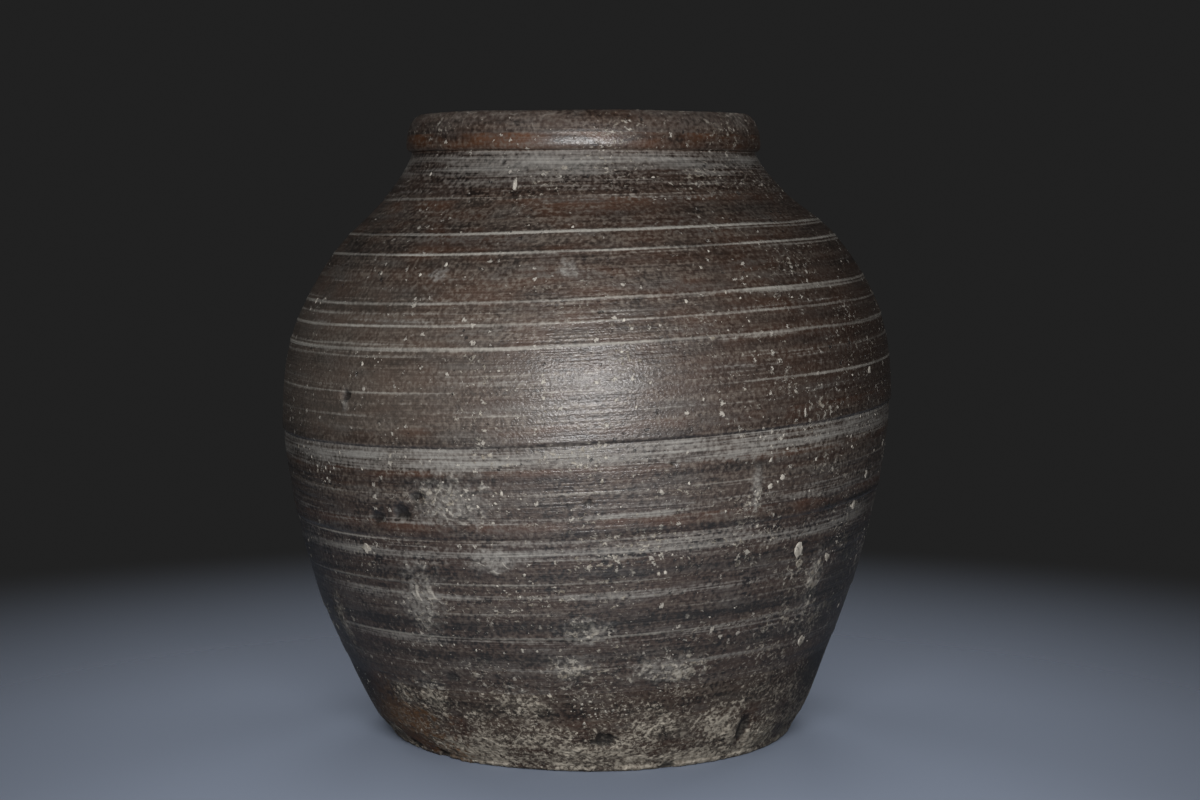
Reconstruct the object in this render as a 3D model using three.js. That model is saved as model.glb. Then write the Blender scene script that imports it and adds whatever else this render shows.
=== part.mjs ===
// Open stoneware jar, coil built: a slab base, seven wall courses, a neck collar and a rolled lip.
// Millimetres, +Z up. The origin is the centre of the underside, and the front of the jar faces -Y.
import * as THREE from "three";

// Base slab
const BASE_UNDERSIDE_RADIUS = 73.4;
const BASE_TOP_RADIUS = 78.4;
const BASE_THICKNESS = 9;
const BASE_EDGE_ROUND = 2;

// Wall courses: the height of each ring of clay, and its outer radius at its upper edge
const FOOT_COURSE_HEIGHT = 21;
const FOOT_COURSE_RADIUS = 87.4;
const LOWER_WALL_HEIGHT = 26;
const LOWER_WALL_RADIUS = 97.3;
const MIDDLE_WALL_HEIGHT = 27.5;
const MIDDLE_WALL_RADIUS = 104;
const UPPER_WALL_HEIGHT = 30.5;
const UPPER_WALL_RADIUS = 108.2;
const BELLY_HEIGHT = 31.5;
const BELLY_RADIUS = 105.1;
const SHOULDER_HEIGHT = 29;
const SHOULDER_RADIUS = 89.2;
const UPPER_SHOULDER_HEIGHT = 17.3;
const UPPER_SHOULDER_RADIUS = 70.9;
const NECK_HEIGHT = 14.9;
const NECK_RADIUS = 61;

// Thickness of the wall, the slanted laps between courses and the layer of slip in each lap
const WALL_THICKNESS = 7;
const SCARF_RISE = 4;
const SLIP_GAP = 0.35;

// Each course sags a little over the one below, which leaves the ledges round the jar
const COURSE_BULGE = 0.8;

// Clay pressed into the corner between the slab and the wall
const HEEL_WIDTH = 10;
const HEEL_HEIGHT = 12;

// Rolled lip: a coil wider than the neck on both sides
const LIP_HEIGHT = 13.3;
const LIP_WIDTH = 11.2;
const LIP_OVERHANG = 2.1;
const LIP_UNDER_ROLL = 2;
const LIP_CREST_INSET = 6.2;
const LIP_MOUTH_DROP = 7;

// The courses lean up towards +X, most at mid height, and the axis wanders to -X on the way up
const RING_TILT = THREE.MathUtils.degToRad(2.75);
const AXIS_DRIFT = 2.4;

// Fineness of the facets
const RADIAL_SEGMENTS = 48;
const OUTER_STEPS = 5;
const INNER_STEPS = 3;
const LIP_ARC_STEPS = 4;
const HEEL_ARC_STEPS = 4;
const EDGE_ARC_STEPS = 3;

const FOOT_COURSE = { name: "foot_course", height: FOOT_COURSE_HEIGHT, radius: FOOT_COURSE_RADIUS };
const WALL_COURSES = [
  { name: "lower_wall_course", height: LOWER_WALL_HEIGHT, radius: LOWER_WALL_RADIUS },
  { name: "middle_wall_course", height: MIDDLE_WALL_HEIGHT, radius: MIDDLE_WALL_RADIUS },
  { name: "upper_wall_course", height: UPPER_WALL_HEIGHT, radius: UPPER_WALL_RADIUS },
  { name: "belly_course", height: BELLY_HEIGHT, radius: BELLY_RADIUS },
  { name: "shoulder_course", height: SHOULDER_HEIGHT, radius: SHOULDER_RADIUS },
  { name: "upper_shoulder_course", height: UPPER_SHOULDER_HEIGHT, radius: UPPER_SHOULDER_RADIUS },
];
const NECK_COURSE = { name: "neck_collar", height: NECK_HEIGHT, radius: NECK_RADIUS };
const COURSES = [FOOT_COURSE, ...WALL_COURSES, NECK_COURSE];

// Stations of the outline, one at the underside and one at each joint, and the curve through them.
// The last one stands straight over the neck, so that the hollow of the neck ends upright.
const FOOT_STATION = 1;
const NECK_STATION = COURSES.length;
const stations = [
  new THREE.Vector3(BASE_UNDERSIDE_RADIUS, 0, 0),
  new THREE.Vector3(BASE_TOP_RADIUS, BASE_THICKNESS, 0),
];
for (const course of COURSES) {
  stations.push(new THREE.Vector3(course.radius, stations.at(-1).y + course.height, 0));
}
const neckTop = stations.at(-1).y;
stations.push(new THREE.Vector3(NECK_RADIUS, neckTop + LIP_HEIGHT, 0));
const outline = new THREE.CatmullRomCurve3(stations, false, "centripetal");

// A point of the wall section at a station (fractions lie between joints), as (radius, height):
// depth goes inwards along the normal, and rise goes up along the wall.
function wallPoint(station, depth, rise = 0) {
  const share = station / (stations.length - 1);
  const point = outline.getPoint(share);
  const tangent = outline.getTangent(share);
  return new THREE.Vector2(
    point.x - depth * tangent.y + rise * tangent.x,
    point.y + depth * tangent.x + rise * tangent.y,
  );
}

// How far a course stands proud of the smooth outline: most just above its lower edge, where it sags
function courseRelief(share) {
  return COURSE_BULGE * Math.sin(Math.PI * Math.sqrt(share));
}

// Lean of the ring at a height: level at the foot and the lip, steepest half way up the wall
function ringLean(height) {
  const fromMiddle = Math.abs((2 * height) / neckTop - 1);
  return RING_TILT * Math.max(0, 1 - fromMiddle ** 4);
}

// Turns a closed section round the axis, then leans and shifts every ring as the hand-raised wall does
function leaningRevolve(section) {
  const geometry = new THREE.LatheGeometry(section, RADIAL_SEGMENTS).rotateX(Math.PI / 2);
  const position = geometry.getAttribute("position");
  for (let i = 0; i < position.count; i++) {
    const x = position.getX(i);
    const height = position.getZ(i);
    position.setX(i, x - AXIS_DRIFT * Math.min(1, height / neckTop));
    position.setZ(i, height + x * Math.tan(ringLean(height)));
  }
  geometry.computeVertexNormals();
  return geometry;
}

// Closes a section by coming back to its first point
function closed(points) {
  return [...points, points[0].clone()];
}

// Slab base: flat below and above, with a rounded lower edge
function baseSection() {
  const shape = new THREE.Shape();
  const edge = BASE_UNDERSIDE_RADIUS - BASE_EDGE_ROUND;
  const side = wallPoint(BASE_EDGE_ROUND / BASE_THICKNESS, 0);
  shape.moveTo(0, 0);
  shape.lineTo(edge, 0);
  shape.quadraticCurveTo(BASE_UNDERSIDE_RADIUS, 0, side.x, side.y);
  shape.lineTo(BASE_TOP_RADIUS, BASE_THICKNESS);
  shape.lineTo(0, BASE_THICKNESS);
  return shape.getPoints(EDGE_ARC_STEPS);
}

// Outer face of a course, upwards, with steps that crowd towards the sagging lower edge
function outerFace(station) {
  const face = [];
  for (let i = 0; i <= OUTER_STEPS; i++) {
    const share = (i / OUTER_STEPS) ** 2;
    face.push(wallPoint(station + share, -courseRelief(share), SLIP_GAP * (1 - share)));
  }
  return face;
}

// Inner face of a course, downwards to a share of its height, with the rise of the lap at each end
function innerFace(station, lowestShare, lowerRise, upperRise) {
  const face = [];
  for (let i = INNER_STEPS; i >= 0; i--) {
    const share = lowestShare + ((1 - lowestShare) * i) / INNER_STEPS;
    const rise = lowerRise + (upperRise - lowerRise) * share;
    face.push(wallPoint(station + share, WALL_THICKNESS, rise));
  }
  return face;
}

// First course: level on the slab, with a heel of clay swept from the wall down to the floor
function footSection() {
  const seat = BASE_THICKNESS + SLIP_GAP;
  const outer = outerFace(FOOT_STATION);
  const inner = innerFace(FOOT_STATION, HEEL_HEIGHT / FOOT_COURSE_HEIGHT, 0, SCARF_RISE);
  outer[0].y = seat;
  const heelTop = inner.pop();
  const slope = (inner.at(-1).x - heelTop.x) / (inner.at(-1).y - heelTop.y);
  const corner = new THREE.Vector2(heelTop.x - slope * (heelTop.y - seat), seat);
  const toe = new THREE.Vector2(corner.x - HEEL_WIDTH, seat);
  const heel = new THREE.QuadraticBezierCurve(heelTop, corner, toe);
  return closed([...outer, ...inner, ...heel.getPoints(HEEL_ARC_STEPS)]);
}

// A course between two slanted laps
function courseSection(station) {
  return closed([
    ...outerFace(station),
    ...innerFace(station, 0, SCARF_RISE + SLIP_GAP, SCARF_RISE),
  ]);
}

// Neck collar: a slanted lap below and a level seat for the lip above
function neckSection() {
  const outer = outerFace(NECK_STATION);
  const inner = innerFace(NECK_STATION, 0, SCARF_RISE + SLIP_GAP, 0);
  inner[0].y = neckTop;
  return closed([...outer, ...inner]);
}

// Rolled lip: level seat, small roll below, long quarter-round outside and a shorter one in the mouth
function lipSection() {
  const seat = neckTop + SLIP_GAP;
  const top = neckTop + LIP_HEIGHT;
  const outer = NECK_RADIUS + LIP_OVERHANG;
  const inner = outer - LIP_WIDTH;
  const crest = outer - LIP_CREST_INSET;
  const shoulder = seat + LIP_UNDER_ROLL;
  const mouth = top - LIP_MOUTH_DROP;
  const shape = new THREE.Shape();
  shape.moveTo(outer - LIP_UNDER_ROLL, seat);
  shape.quadraticCurveTo(outer, seat, outer, shoulder);
  shape.absellipse(crest, shoulder, outer - crest, top - shoulder, 0, Math.PI / 2, false, 0);
  shape.absellipse(crest, mouth, crest - inner, LIP_MOUTH_DROP, Math.PI / 2, Math.PI, false, 0);
  shape.lineTo(inner, shoulder);
  shape.quadraticCurveTo(inner, seat, inner + LIP_UNDER_ROLL, seat);
  return closed(shape.getPoints(LIP_ARC_STEPS));
}

// Unglazed brown stoneware: dull at the foot, a low sheen on the wall and the smoothed lip
const FOOT_CLAY = { color: "#57504b", roughness: 0.65, metalness: 0 };
const WALL_CLAY = { color: "#5d544c", roughness: 0.5, metalness: 0 };
const LIP_CLAY = { color: "#655d57", roughness: 0.45, metalness: 0 };

const jar = new THREE.Group();

function addPiece(name, section, clay) {
  const piece = new THREE.Mesh(leaningRevolve(section), new THREE.MeshStandardMaterial(clay));
  piece.name = name;
  jar.add(piece);
}

addPiece("base_disc", baseSection(), FOOT_CLAY);
addPiece(FOOT_COURSE.name, footSection(), FOOT_CLAY);
WALL_COURSES.forEach((course, index) => {
  addPiece(course.name, courseSection(FOOT_STATION + 1 + index), WALL_CLAY);
});
addPiece(NECK_COURSE.name, neckSection(), LIP_CLAY);
addPiece("rolled_lip", lipSection(), LIP_CLAY);

export default jar;
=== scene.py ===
"""Open stoneware jar, coil built and turned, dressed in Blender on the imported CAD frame.

Sizes are millimetres in the CAD frame: +Z up, the origin at the centre of the underside and the
front of the jar to -Y. A bearing is degrees round the jar from the front, positive towards +X.
Sections are drawn as (radius, height) and turned upright, and the lean comes last.
"""

import logging
import math
import random
from collections.abc import Iterable
from dataclasses import dataclass, field
from enum import Enum

import bpy
from mathutils import Euler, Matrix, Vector


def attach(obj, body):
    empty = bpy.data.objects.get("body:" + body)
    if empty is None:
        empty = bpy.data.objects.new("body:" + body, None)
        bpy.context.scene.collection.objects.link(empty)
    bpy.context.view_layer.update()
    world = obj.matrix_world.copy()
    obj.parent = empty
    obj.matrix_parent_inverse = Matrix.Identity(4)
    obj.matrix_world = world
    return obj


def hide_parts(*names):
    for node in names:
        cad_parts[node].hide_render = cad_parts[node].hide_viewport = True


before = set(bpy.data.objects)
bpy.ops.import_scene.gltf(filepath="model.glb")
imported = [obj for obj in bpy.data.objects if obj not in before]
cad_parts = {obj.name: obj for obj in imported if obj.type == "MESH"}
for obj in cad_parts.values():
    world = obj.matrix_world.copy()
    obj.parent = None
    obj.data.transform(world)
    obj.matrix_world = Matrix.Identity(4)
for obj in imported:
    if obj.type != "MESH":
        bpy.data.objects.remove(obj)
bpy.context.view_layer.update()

MM = 0.001
BODY = "root"
WELD = 1e-6
HALVINGS = 30

# Shifts by size, run and detail, so that no two patterns of a finish line up.
PATTERN_SHIFT = (7.3, 3.1, 5.7)

MATH = "ShaderNodeMath"
VECTOR = "ShaderNodeVectorMath"
NOISE = "ShaderNodeTexNoise"
VORONOI = "ShaderNodeTexVoronoi"
RANGE = "ShaderNodeMapRange"
MIX = "ShaderNodeMix"
SPLIT = "ShaderNodeSeparateXYZ"
NAMED = "GeometryNodeInputNamedAttribute"
STORE = "GeometryNodeStoreNamedAttribute"

log = logging.getLogger("jar")

Point = tuple[float, float]
Span = tuple[float, float]
Place = tuple[float, float, float]
Colour = tuple[float, float, float, float]
Socket = bpy.types.NodeSocket
Fields = dict[str, Socket]
Coat = tuple[Socket, Socket | Colour]


def add_node(
    tree: bpy.types.NodeTree,
    kind: str,
    inputs: dict[int | str, object] | None = None,
    **settings: object,
) -> Socket | None:
    """Add a node with its settings and links.

    Args:
        tree: Tree that gets the node.
        kind: Blender's identifier of the node.
        inputs: A value, or a socket to link from, for each input by its name or index.
        **settings: Properties of the node, such as its operation.

    Returns:
        The node's first output in use, or None where it has none.
    """
    node = tree.nodes.new(kind)
    for name, setting in settings.items():
        setattr(node, name, setting)
    for key, value in (inputs or {}).items():
        socket = node.inputs[key]
        if isinstance(key, str):
            socket = next(each for each in node.inputs if each.name == key and each.enabled)
        if isinstance(value, Socket):
            tree.links.new(value, socket)
        else:
            socket.default_value = value
    return next((each for each in node.outputs if each.enabled), None)


def linear(colour: str) -> Colour:
    """Turn an sRGB hex colour into linear RGBA.

    Args:
        colour: Colour as #rrggbb.

    Returns:
        Linear red, green, blue and an alpha of 1.
    """
    parts = [int(colour[i : i + 2], 16) / 255 for i in (1, 3, 5)]
    values = [p / 12.92 if p <= 0.04045 else ((p + 0.055) / 1.055) ** 2.4 for p in parts]
    return (*values, 1.0)


def open_tree(name: str, inputs: dict[str, str],
              output: str) -> tuple[bpy.types.NodeTree, Fields]:
    """Start a Geometry Nodes tree.

    Args:
        name: Name of the tree.
        inputs: Kind of each input by its name.
        output: Name of the geometry that the tree gives.

    Returns:
        The tree, and its inputs as sockets by name.
    """
    tree = bpy.data.node_groups.new(name, "GeometryNodeTree")
    for label, kind in inputs.items():
        tree.interface.new_socket(label, in_out="INPUT", socket_type=f"NodeSocket{kind}")
    tree.interface.new_socket(output, in_out="OUTPUT", socket_type="NodeSocketGeometry")
    given = add_node(tree, "NodeGroupInput").node.outputs
    return tree, {socket.name: socket for socket in given}


def open_material(name: str) -> bpy.types.Material:
    """Start a material with no nodes in it.

    Args:
        name: Name of the material.

    Returns:
        The material.
    """
    made = bpy.data.materials.new(name)
    made.use_nodes = True
    made.node_tree.nodes.clear()
    return made


def keep_vectors(mesh: bpy.types.Mesh, key: str, values: Iterable[Iterable[float]]) -> None:
    """Keep a vector for each point of a mesh.

    Args:
        mesh: The mesh.
        key: Name of the attribute.
        values: A vector for each point.
    """
    attribute = mesh.attributes.new(key, "FLOAT_VECTOR", "POINT")
    attribute.data.foreach_set("vector", [part for value in values for part in value])


@dataclass(frozen=True)
class Pattern:
    """A noise pattern in millimetres: its run round the jar, height, octaves and cut-off levels."""

    run: float
    size: float
    detail: float
    low: float = 0.3
    high: float = 0.7

    def noise(self, tree: bpy.types.NodeTree, place: Socket, **more: float) -> Socket:
        """The pattern on the upright jar.

        Args:
            tree: Tree that gets the pattern.
            place: Places in millimetres.
            **more: Further inputs of the noise, such as its distortion.

        Returns:
            The noise, about 0.5 on average.
        """
        reach = (1 / self.run, 1 / self.run, 1 / self.size)
        scaled = add_node(tree, VECTOR, {0: place, 1: reach}, operation="MULTIPLY")
        return add_node(tree, NOISE, {"Vector": scaled, "Scale": 1.0, "Detail": self.detail, **more})

    def cut(self, tree: bpy.types.NodeTree, place: Socket) -> Socket:
        """The pattern, shifted off all others and cut to its levels.

        Args:
            tree: Tree that gets the pattern.
            place: Places in millimetres.

        Returns:
            The pattern from 0 to 1.
        """
        offset = tuple(a * b for a, b in zip(PATTERN_SHIFT, (self.size, self.run, self.detail)))
        moved = add_node(tree, VECTOR, {0: place, 1: offset}, operation="ADD")
        return add_node(tree, RANGE, {"Value": self.noise(tree, moved), "From Min": self.low,
                                      "From Max": self.high})


class Slot(Enum):
    """Material slots of the record."""

    FOOT = "stoneware_foot"
    WALL = "stoneware_wall"
    LIP = "stoneware_lip"


class MarkKind(Enum):
    """What a single mark on the wall is."""

    PIT = "burnt-out hollow"
    CRUST = "patch of grit and lime"
    STAIN = "patch of rust"
    # Painted shade laid on the lower side edges of the wall.
    LOW_EDGE_SHADE = "scorched patch"


@dataclass(frozen=True)
class Course:
    """A ring of clay: its CAD node, slot, height, and outer radius at its upper edge."""

    node: str
    slot: Slot
    height: float
    radius: float


@dataclass(frozen=True)
class Ledge:
    """A sag of the wall over its lower part: how far it stands proud and how soon that fades."""

    height: float
    step: float
    fade: float


@dataclass(frozen=True)
class SlipLine:
    """A line left by the turning: pale slip where strength is positive, a darkening where negative,
    which under the ledges is painted shade.
    """

    height: float
    width: float
    strength: float
    right: float = 0.0
    front: float = 0.0


@dataclass(frozen=True)
class Band:
    """A band round the wall, strongest at its top edge and fading down to its low edge."""

    low: float
    high: float
    strength: float


@dataclass(frozen=True)
class Mark:
    """A single mark: its bearing, height, half sizes and depth or thickness."""

    kind: MarkKind
    bearing: float
    height: float
    half_width: float
    half_height: float
    depth: float


@dataclass(frozen=True)
class Flake:
    """A chip of lime stuck to the wall: its bearing, height, width and tallness."""

    bearing: float
    height: float
    width: float
    tall: float


@dataclass(frozen=True)
class Turning:
    """What the turning and the firing left on the wall, by height, with painted shade under its
    ledges.
    """

    ledges: tuple[Ledge, ...] = (
        Ledge(191.6, 0.2, 6),
        Ledge(145.3, 0.2, 9),
        Ledge(114.5, 0.65, 18),
        Ledge(84.3, 0.45, 14),
        Ledge(69.0, 0.15, 7),
        Ledge(50.5, 0.25, 9),
        Ledge(33.0, 0.25, 8),
    )
    lines: tuple[SlipLine, ...] = (
        SlipLine(191.5, 1.2, 0.24, right=-0.15),
        SlipLine(187.5, 0.9, 0.12, right=-0.12),
        SlipLine(182.4, 0.7, 0.12, front=0.15),
        SlipLine(180.6, 0.95, 0.75),
        SlipLine(179.5, 0.8, 0.06, right=0.5),
        SlipLine(174.5, 0.9, 0.72),
        SlipLine(173.2, 0.8, 0.12, right=0.35),
        SlipLine(166.4, 0.7, 0.2),
        SlipLine(161.0, 0.7, 0.06, right=-0.4),
        SlipLine(159.5, 1.1, 0.85, right=-0.1, front=-0.3),
        SlipLine(158.4, 0.8, 0.12, right=0.5),
        SlipLine(156.3, 0.8, 0.2, right=-0.35),
        SlipLine(154.4, 0.8, 0.14, right=-0.1),
        SlipLine(152.6, 1.1, 0.7, right=-0.2, front=-0.28),
        SlipLine(149.5, 0.7, 0.12),
        SlipLine(147.0, 0.7, 0.08, right=-0.42),
        SlipLine(145.5, 1.2, 0.9, right=-0.25, front=-0.32),
        SlipLine(144.5, 0.8, 0.36, front=-0.15),
        SlipLine(143.2, 0.8, 0.12, right=-0.45),
        SlipLine(138.7, 0.7, 0.16, right=0.2),
        SlipLine(131.7, 0.9, 0.2, right=-0.5),
        SlipLine(130.5, 1.1, 0.3, right=0.4, front=-0.1),
        SlipLine(124.2, 0.9, 0.24, right=-0.12),
        # Negative lines are painted shade: a dark line under the ledges at 114.5 and 84.5, and in
        # the groove at 100.2.
        SlipLine(114.5, 0.9, -0.9),
        SlipLine(104.4, 0.7, 0.14),
        SlipLine(100.2, 0.8, -0.35),
        SlipLine(98.8, 0.8, 0.3),
        SlipLine(84.5, 0.9, -0.6),
        SlipLine(83.5, 0.7, 0.34, right=-0.3),
        SlipLine(69.0, 0.9, 0.42, right=-0.35),
        SlipLine(58.8, 0.9, 0.3),
        SlipLine(50.3, 1.1, 0.55, right=-0.3),
        SlipLine(39.8, 0.9, 0.34),
        SlipLine(31.5, 0.8, 0.16, right=0.3),
    )
    # Broad bands by height: paler where positive, darker where negative. The dark bands just over
    # the ledges, at 116.4 and 85.6, are painted shade on the faces that overhang.
    tones: tuple[SlipLine, ...] = (
        SlipLine(202.2, 5.0, 0.5, front=-0.15),
        SlipLine(185.6, 5.0, -0.2),
        SlipLine(176.0, 34.0, -0.2, front=-0.04),
        SlipLine(177.4, 3.6, -0.18),
        SlipLine(171.4, 3.2, -0.18),
        SlipLine(165.3, 1.6, -0.15, right=-0.15),
        SlipLine(157.4, 1.6, -0.2),
        SlipLine(149.6, 4.6, -0.18),
        SlipLine(141.4, 3.0, -0.2),
        SlipLine(135.4, 3.4, 0.1, front=0.15),
        SlipLine(140.0, 64.0, -0.04),
        SlipLine(116.4, 3.0, -0.4),
        SlipLine(108.8, 4.4, 0.22, right=-0.12),
        SlipLine(103.2, 3.8, -0.52, right=0.12),
        SlipLine(95.4, 2.4, -0.25, right=0.2),
        SlipLine(93.8, 1.6, 0.25, right=0.25),
        SlipLine(90.4, 3.0, 0.53),
        SlipLine(85.6, 2.4, -0.62),
        SlipLine(78.6, 4.4, 0.46, right=-0.08),
        SlipLine(71.2, 3.8, -0.66),
        SlipLine(66.9, 1.4, -0.25, front=-0.15),
        SlipLine(64.4, 3.6, 0.66),
        SlipLine(58.0, 56.0, -0.26),
        SlipLine(54.8, 4.2, -0.86),
        SlipLine(48.8, 5.0, 0.72),
        SlipLine(43.0, 3.8, -0.82),
        SlipLine(39.0, 2.4, 0.5, right=0.15),
        SlipLine(36.4, 1.8, -0.19, right=0.35),
        SlipLine(24.5, 3.0, -0.24, right=0.3),
    )
    blooms: tuple[Band, ...] = (
        Band(188.0, 206.7, 0.52),
        Band(150.0, 154.5, 0.25),
        Band(105.0, 114.1, 0.8),
        Band(88.0, 98.5, 0.2),
        Band(74.0, 84.0, 0.55),
        Band(58.0, 68.5, 0.2),
    )
    rusts: tuple[Band, ...] = (
        Band(206.0, 212.5, 1.0),
        Band(212.5, 220.5, 0.25),
        Band(118.0, 191.0, 0.75),
        Band(114.8, 121.0, 0.7),
        Band(100.5, 107.0, 0.8),
        Band(84.5, 90.0, 0.8),
        Band(0.0, 20.0, 0.4),
    )
    line_rise: float = 0.15
    line_softness: float = 4.0
    tone_softness: float = 2.0
    ledge_edge: float = 0.9
    undercut: float = 0.2
    undercut_fade: float = 2.5
    crust_top: float = 32.0
    crust_full: float = 9.5
    crust_most: float = 1.35

    def relief(self, height: float) -> float:
        """How far the wall stands out, from its ledges and raised lines.

        Args:
            height: Height on the wall.

        Returns:
            The relief in millimetres.
        """
        proud = self.line_rise * self.slip(self.lines, height, self.line_softness)[0]
        for ledge in self.ledges:
            above = height - ledge.height
            share = min(1.0, max(0.0, above / self.ledge_edge + 0.5))
            over = math.exp(-max(0.0, above) / ledge.fade)
            under = self.undercut * math.exp(min(0.0, above) / self.undercut_fade)
            proud += ledge.step * (share * over - (1 - share) * under)
        return proud

    def slip(self, lines: tuple[SlipLine, ...], height: float, softness: float) -> Place:
        """Slip of some lines at a height: its mean, and what it gains to the right and the front.

        Args:
            lines: The lines.
            height: Height on the wall.
            softness: How the edges fall off: 2 is soft and 4 is firm.

        Returns:
            The mean and the two gains.
        """
        total = [0.0, 0.0, 0.0]
        for line in lines:
            share = math.exp(-(abs(height - line.height) / (0.5 * line.width)) ** softness)
            for i, part in enumerate((line.strength, line.right, line.front)):
                total[i] += part * share
        return tuple(total)

    def crust(self, height: float) -> float:
        """How much grit and lime sits on the foot.

        Args:
            height: Height on the wall.

        Returns:
            Its share, over 1 where it is thick.
        """
        share = (self.crust_top - height) / (self.crust_top - self.crust_full)
        return min(self.crust_most, max(0.0, share))


def band_value(bands: tuple[Band, ...], height: float) -> float:
    """Strength of a set of bands at a height.

    Args:
        bands: Bands to add up.
        height: Height on the wall.

    Returns:
        The sum of the bands, each full at its top edge and none at its low edge.
    """
    total = 0.0
    for band in bands:
        if band.low < height < band.high:
            total += band.strength * math.sqrt((height - band.low) / (band.high - band.low))
    return total


@dataclass
class Row:
    """One ring of a section: its place, the way its face looks and what the surface shows there."""

    radius: float
    height: float
    aim: Point
    give: float
    inside: float
    corner: bool
    crust: float = 0.0


@dataclass
class Outline:
    """Outer outline of the wall: a centripetal Catmull-Rom curve through its joints."""

    stations: list[Point]

    def point(self, station: float) -> Point:
        """Point of the outline at a station, whose fractions lie between joints.

        Args:
            station: Joint number and fraction.

        Returns:
            The radius and height there.
        """
        index = min(int(station), len(self.stations) - 2)
        share = station - index
        knots = [self.joint(index + i) for i in (-1, 0, 1, 2)]
        spans = [math.sqrt(math.dist(a, b)) for a, b in zip(knots, knots[1:])]
        values = []
        for before, start, end, after in zip(*knots):
            first = (start - before) / spans[0] - (end - before) / (spans[0] + spans[1])
            last = (after - end) / spans[2] - (after - start) / (spans[1] + spans[2])
            steep = (end - start) / spans[1]
            leave, arrive = (first + steep) * spans[1], (steep + last) * spans[1]
            cubic = 2 * start - 2 * end + leave + arrive
            square = 3 * end - 3 * start - 2 * leave - arrive
            values.append(start + share * (leave + share * (square + share * cubic)))
        return (values[0], values[1])

    def joint(self, index: int) -> Point:
        """A joint of the outline, or the one mirrored beyond its end.

        Args:
            index: Number of the joint.

        Returns:
            Its radius and height.
        """
        last = len(self.stations) - 1
        if 0 <= index <= last:
            return self.stations[index]
        end, inner = (0, 1) if index < 0 else (last, last - 1)
        return tuple(2 * a - b for a, b in zip(self.stations[end], self.stations[inner]))

    def offset(self, station: float, out: float, up: float = 0.0) -> Point:
        """A point off the outline.

        Args:
            station: Joint number and fraction.
            out: Distance outwards along the normal.
            up: Distance up along the wall.

        Returns:
            The radius and height there.
        """
        step = 0.002
        low, high = self.point(station - step), self.point(station + step)
        run = math.dist(low, high)
        across, along = (high[0] - low[0]) / run, (high[1] - low[1]) / run
        radius, height = self.point(station)
        return (radius + out * along + up * across, height - out * across + up * along)

    def radius_at(self, height: float) -> float:
        """Find the outer radius by halving the range of stations.

        Args:
            height: Height on the wall.

        Returns:
            The radius there.
        """
        low, high = 0.0, float(len(self.stations) - 1)
        for _ in range(HALVINGS):
            middle = (low + high) / 2
            if self.point(middle)[1] < height:
                low = middle
            else:
                high = middle
        return self.point(low)[0]


def face_rows(points: list[Point], give: float = 1.0, inside: float = 0.0) -> list[Row]:
    """Rows of one smooth face of a section.

    Args:
        points: Points of the face, anticlockwise round the section.
        give: How much of the clay's relief the face takes.
        inside: 1 on the inner side of the jar.

    Returns:
        One row for each point, with sharp corners at both ends.
    """
    rows = []
    last = len(points) - 1
    for i, (radius, height) in enumerate(points):
        before, after = points[max(0, i - 1)], points[min(last, i + 1)]
        run = math.dist(before, after)
        aim = ((after[1] - before[1]) / run, (before[0] - after[0]) / run)
        rows.append(Row(radius, height, aim, give, inside, i in (0, last)))
    return rows


def arc(centre: Point, reach: Point, start: float, end: float, step: float) -> list[Point]:
    """Points of an elliptical arc.

    Args:
        centre: Centre of the ellipse.
        reach: Its half axes.
        start: First angle in degrees.
        end: Last angle in degrees.
        step: Distance between points.

    Returns:
        The points from start to end.
    """
    count = max(2, round(math.radians(abs(end - start)) * max(reach) / step))
    angles = [math.radians(start + (end - start) * i / count) for i in range(count + 1)]
    return [
        (centre[0] + reach[0] * math.cos(a), centre[1] + reach[1] * math.sin(a)) for a in angles
    ]


def straight(start: Point, end: Point, step: float) -> list[Point]:
    """Points of a straight line, both ends included.

    Args:
        start: First point.
        end: Last point.
        step: Distance between points.

    Returns:
        The points from start to end.
    """
    count = max(1, round(math.dist(start, end) / step))
    return [
        tuple(a + (b - a) * i / count for a, b in zip(start, end)) for i in range(count + 1)
    ]


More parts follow.
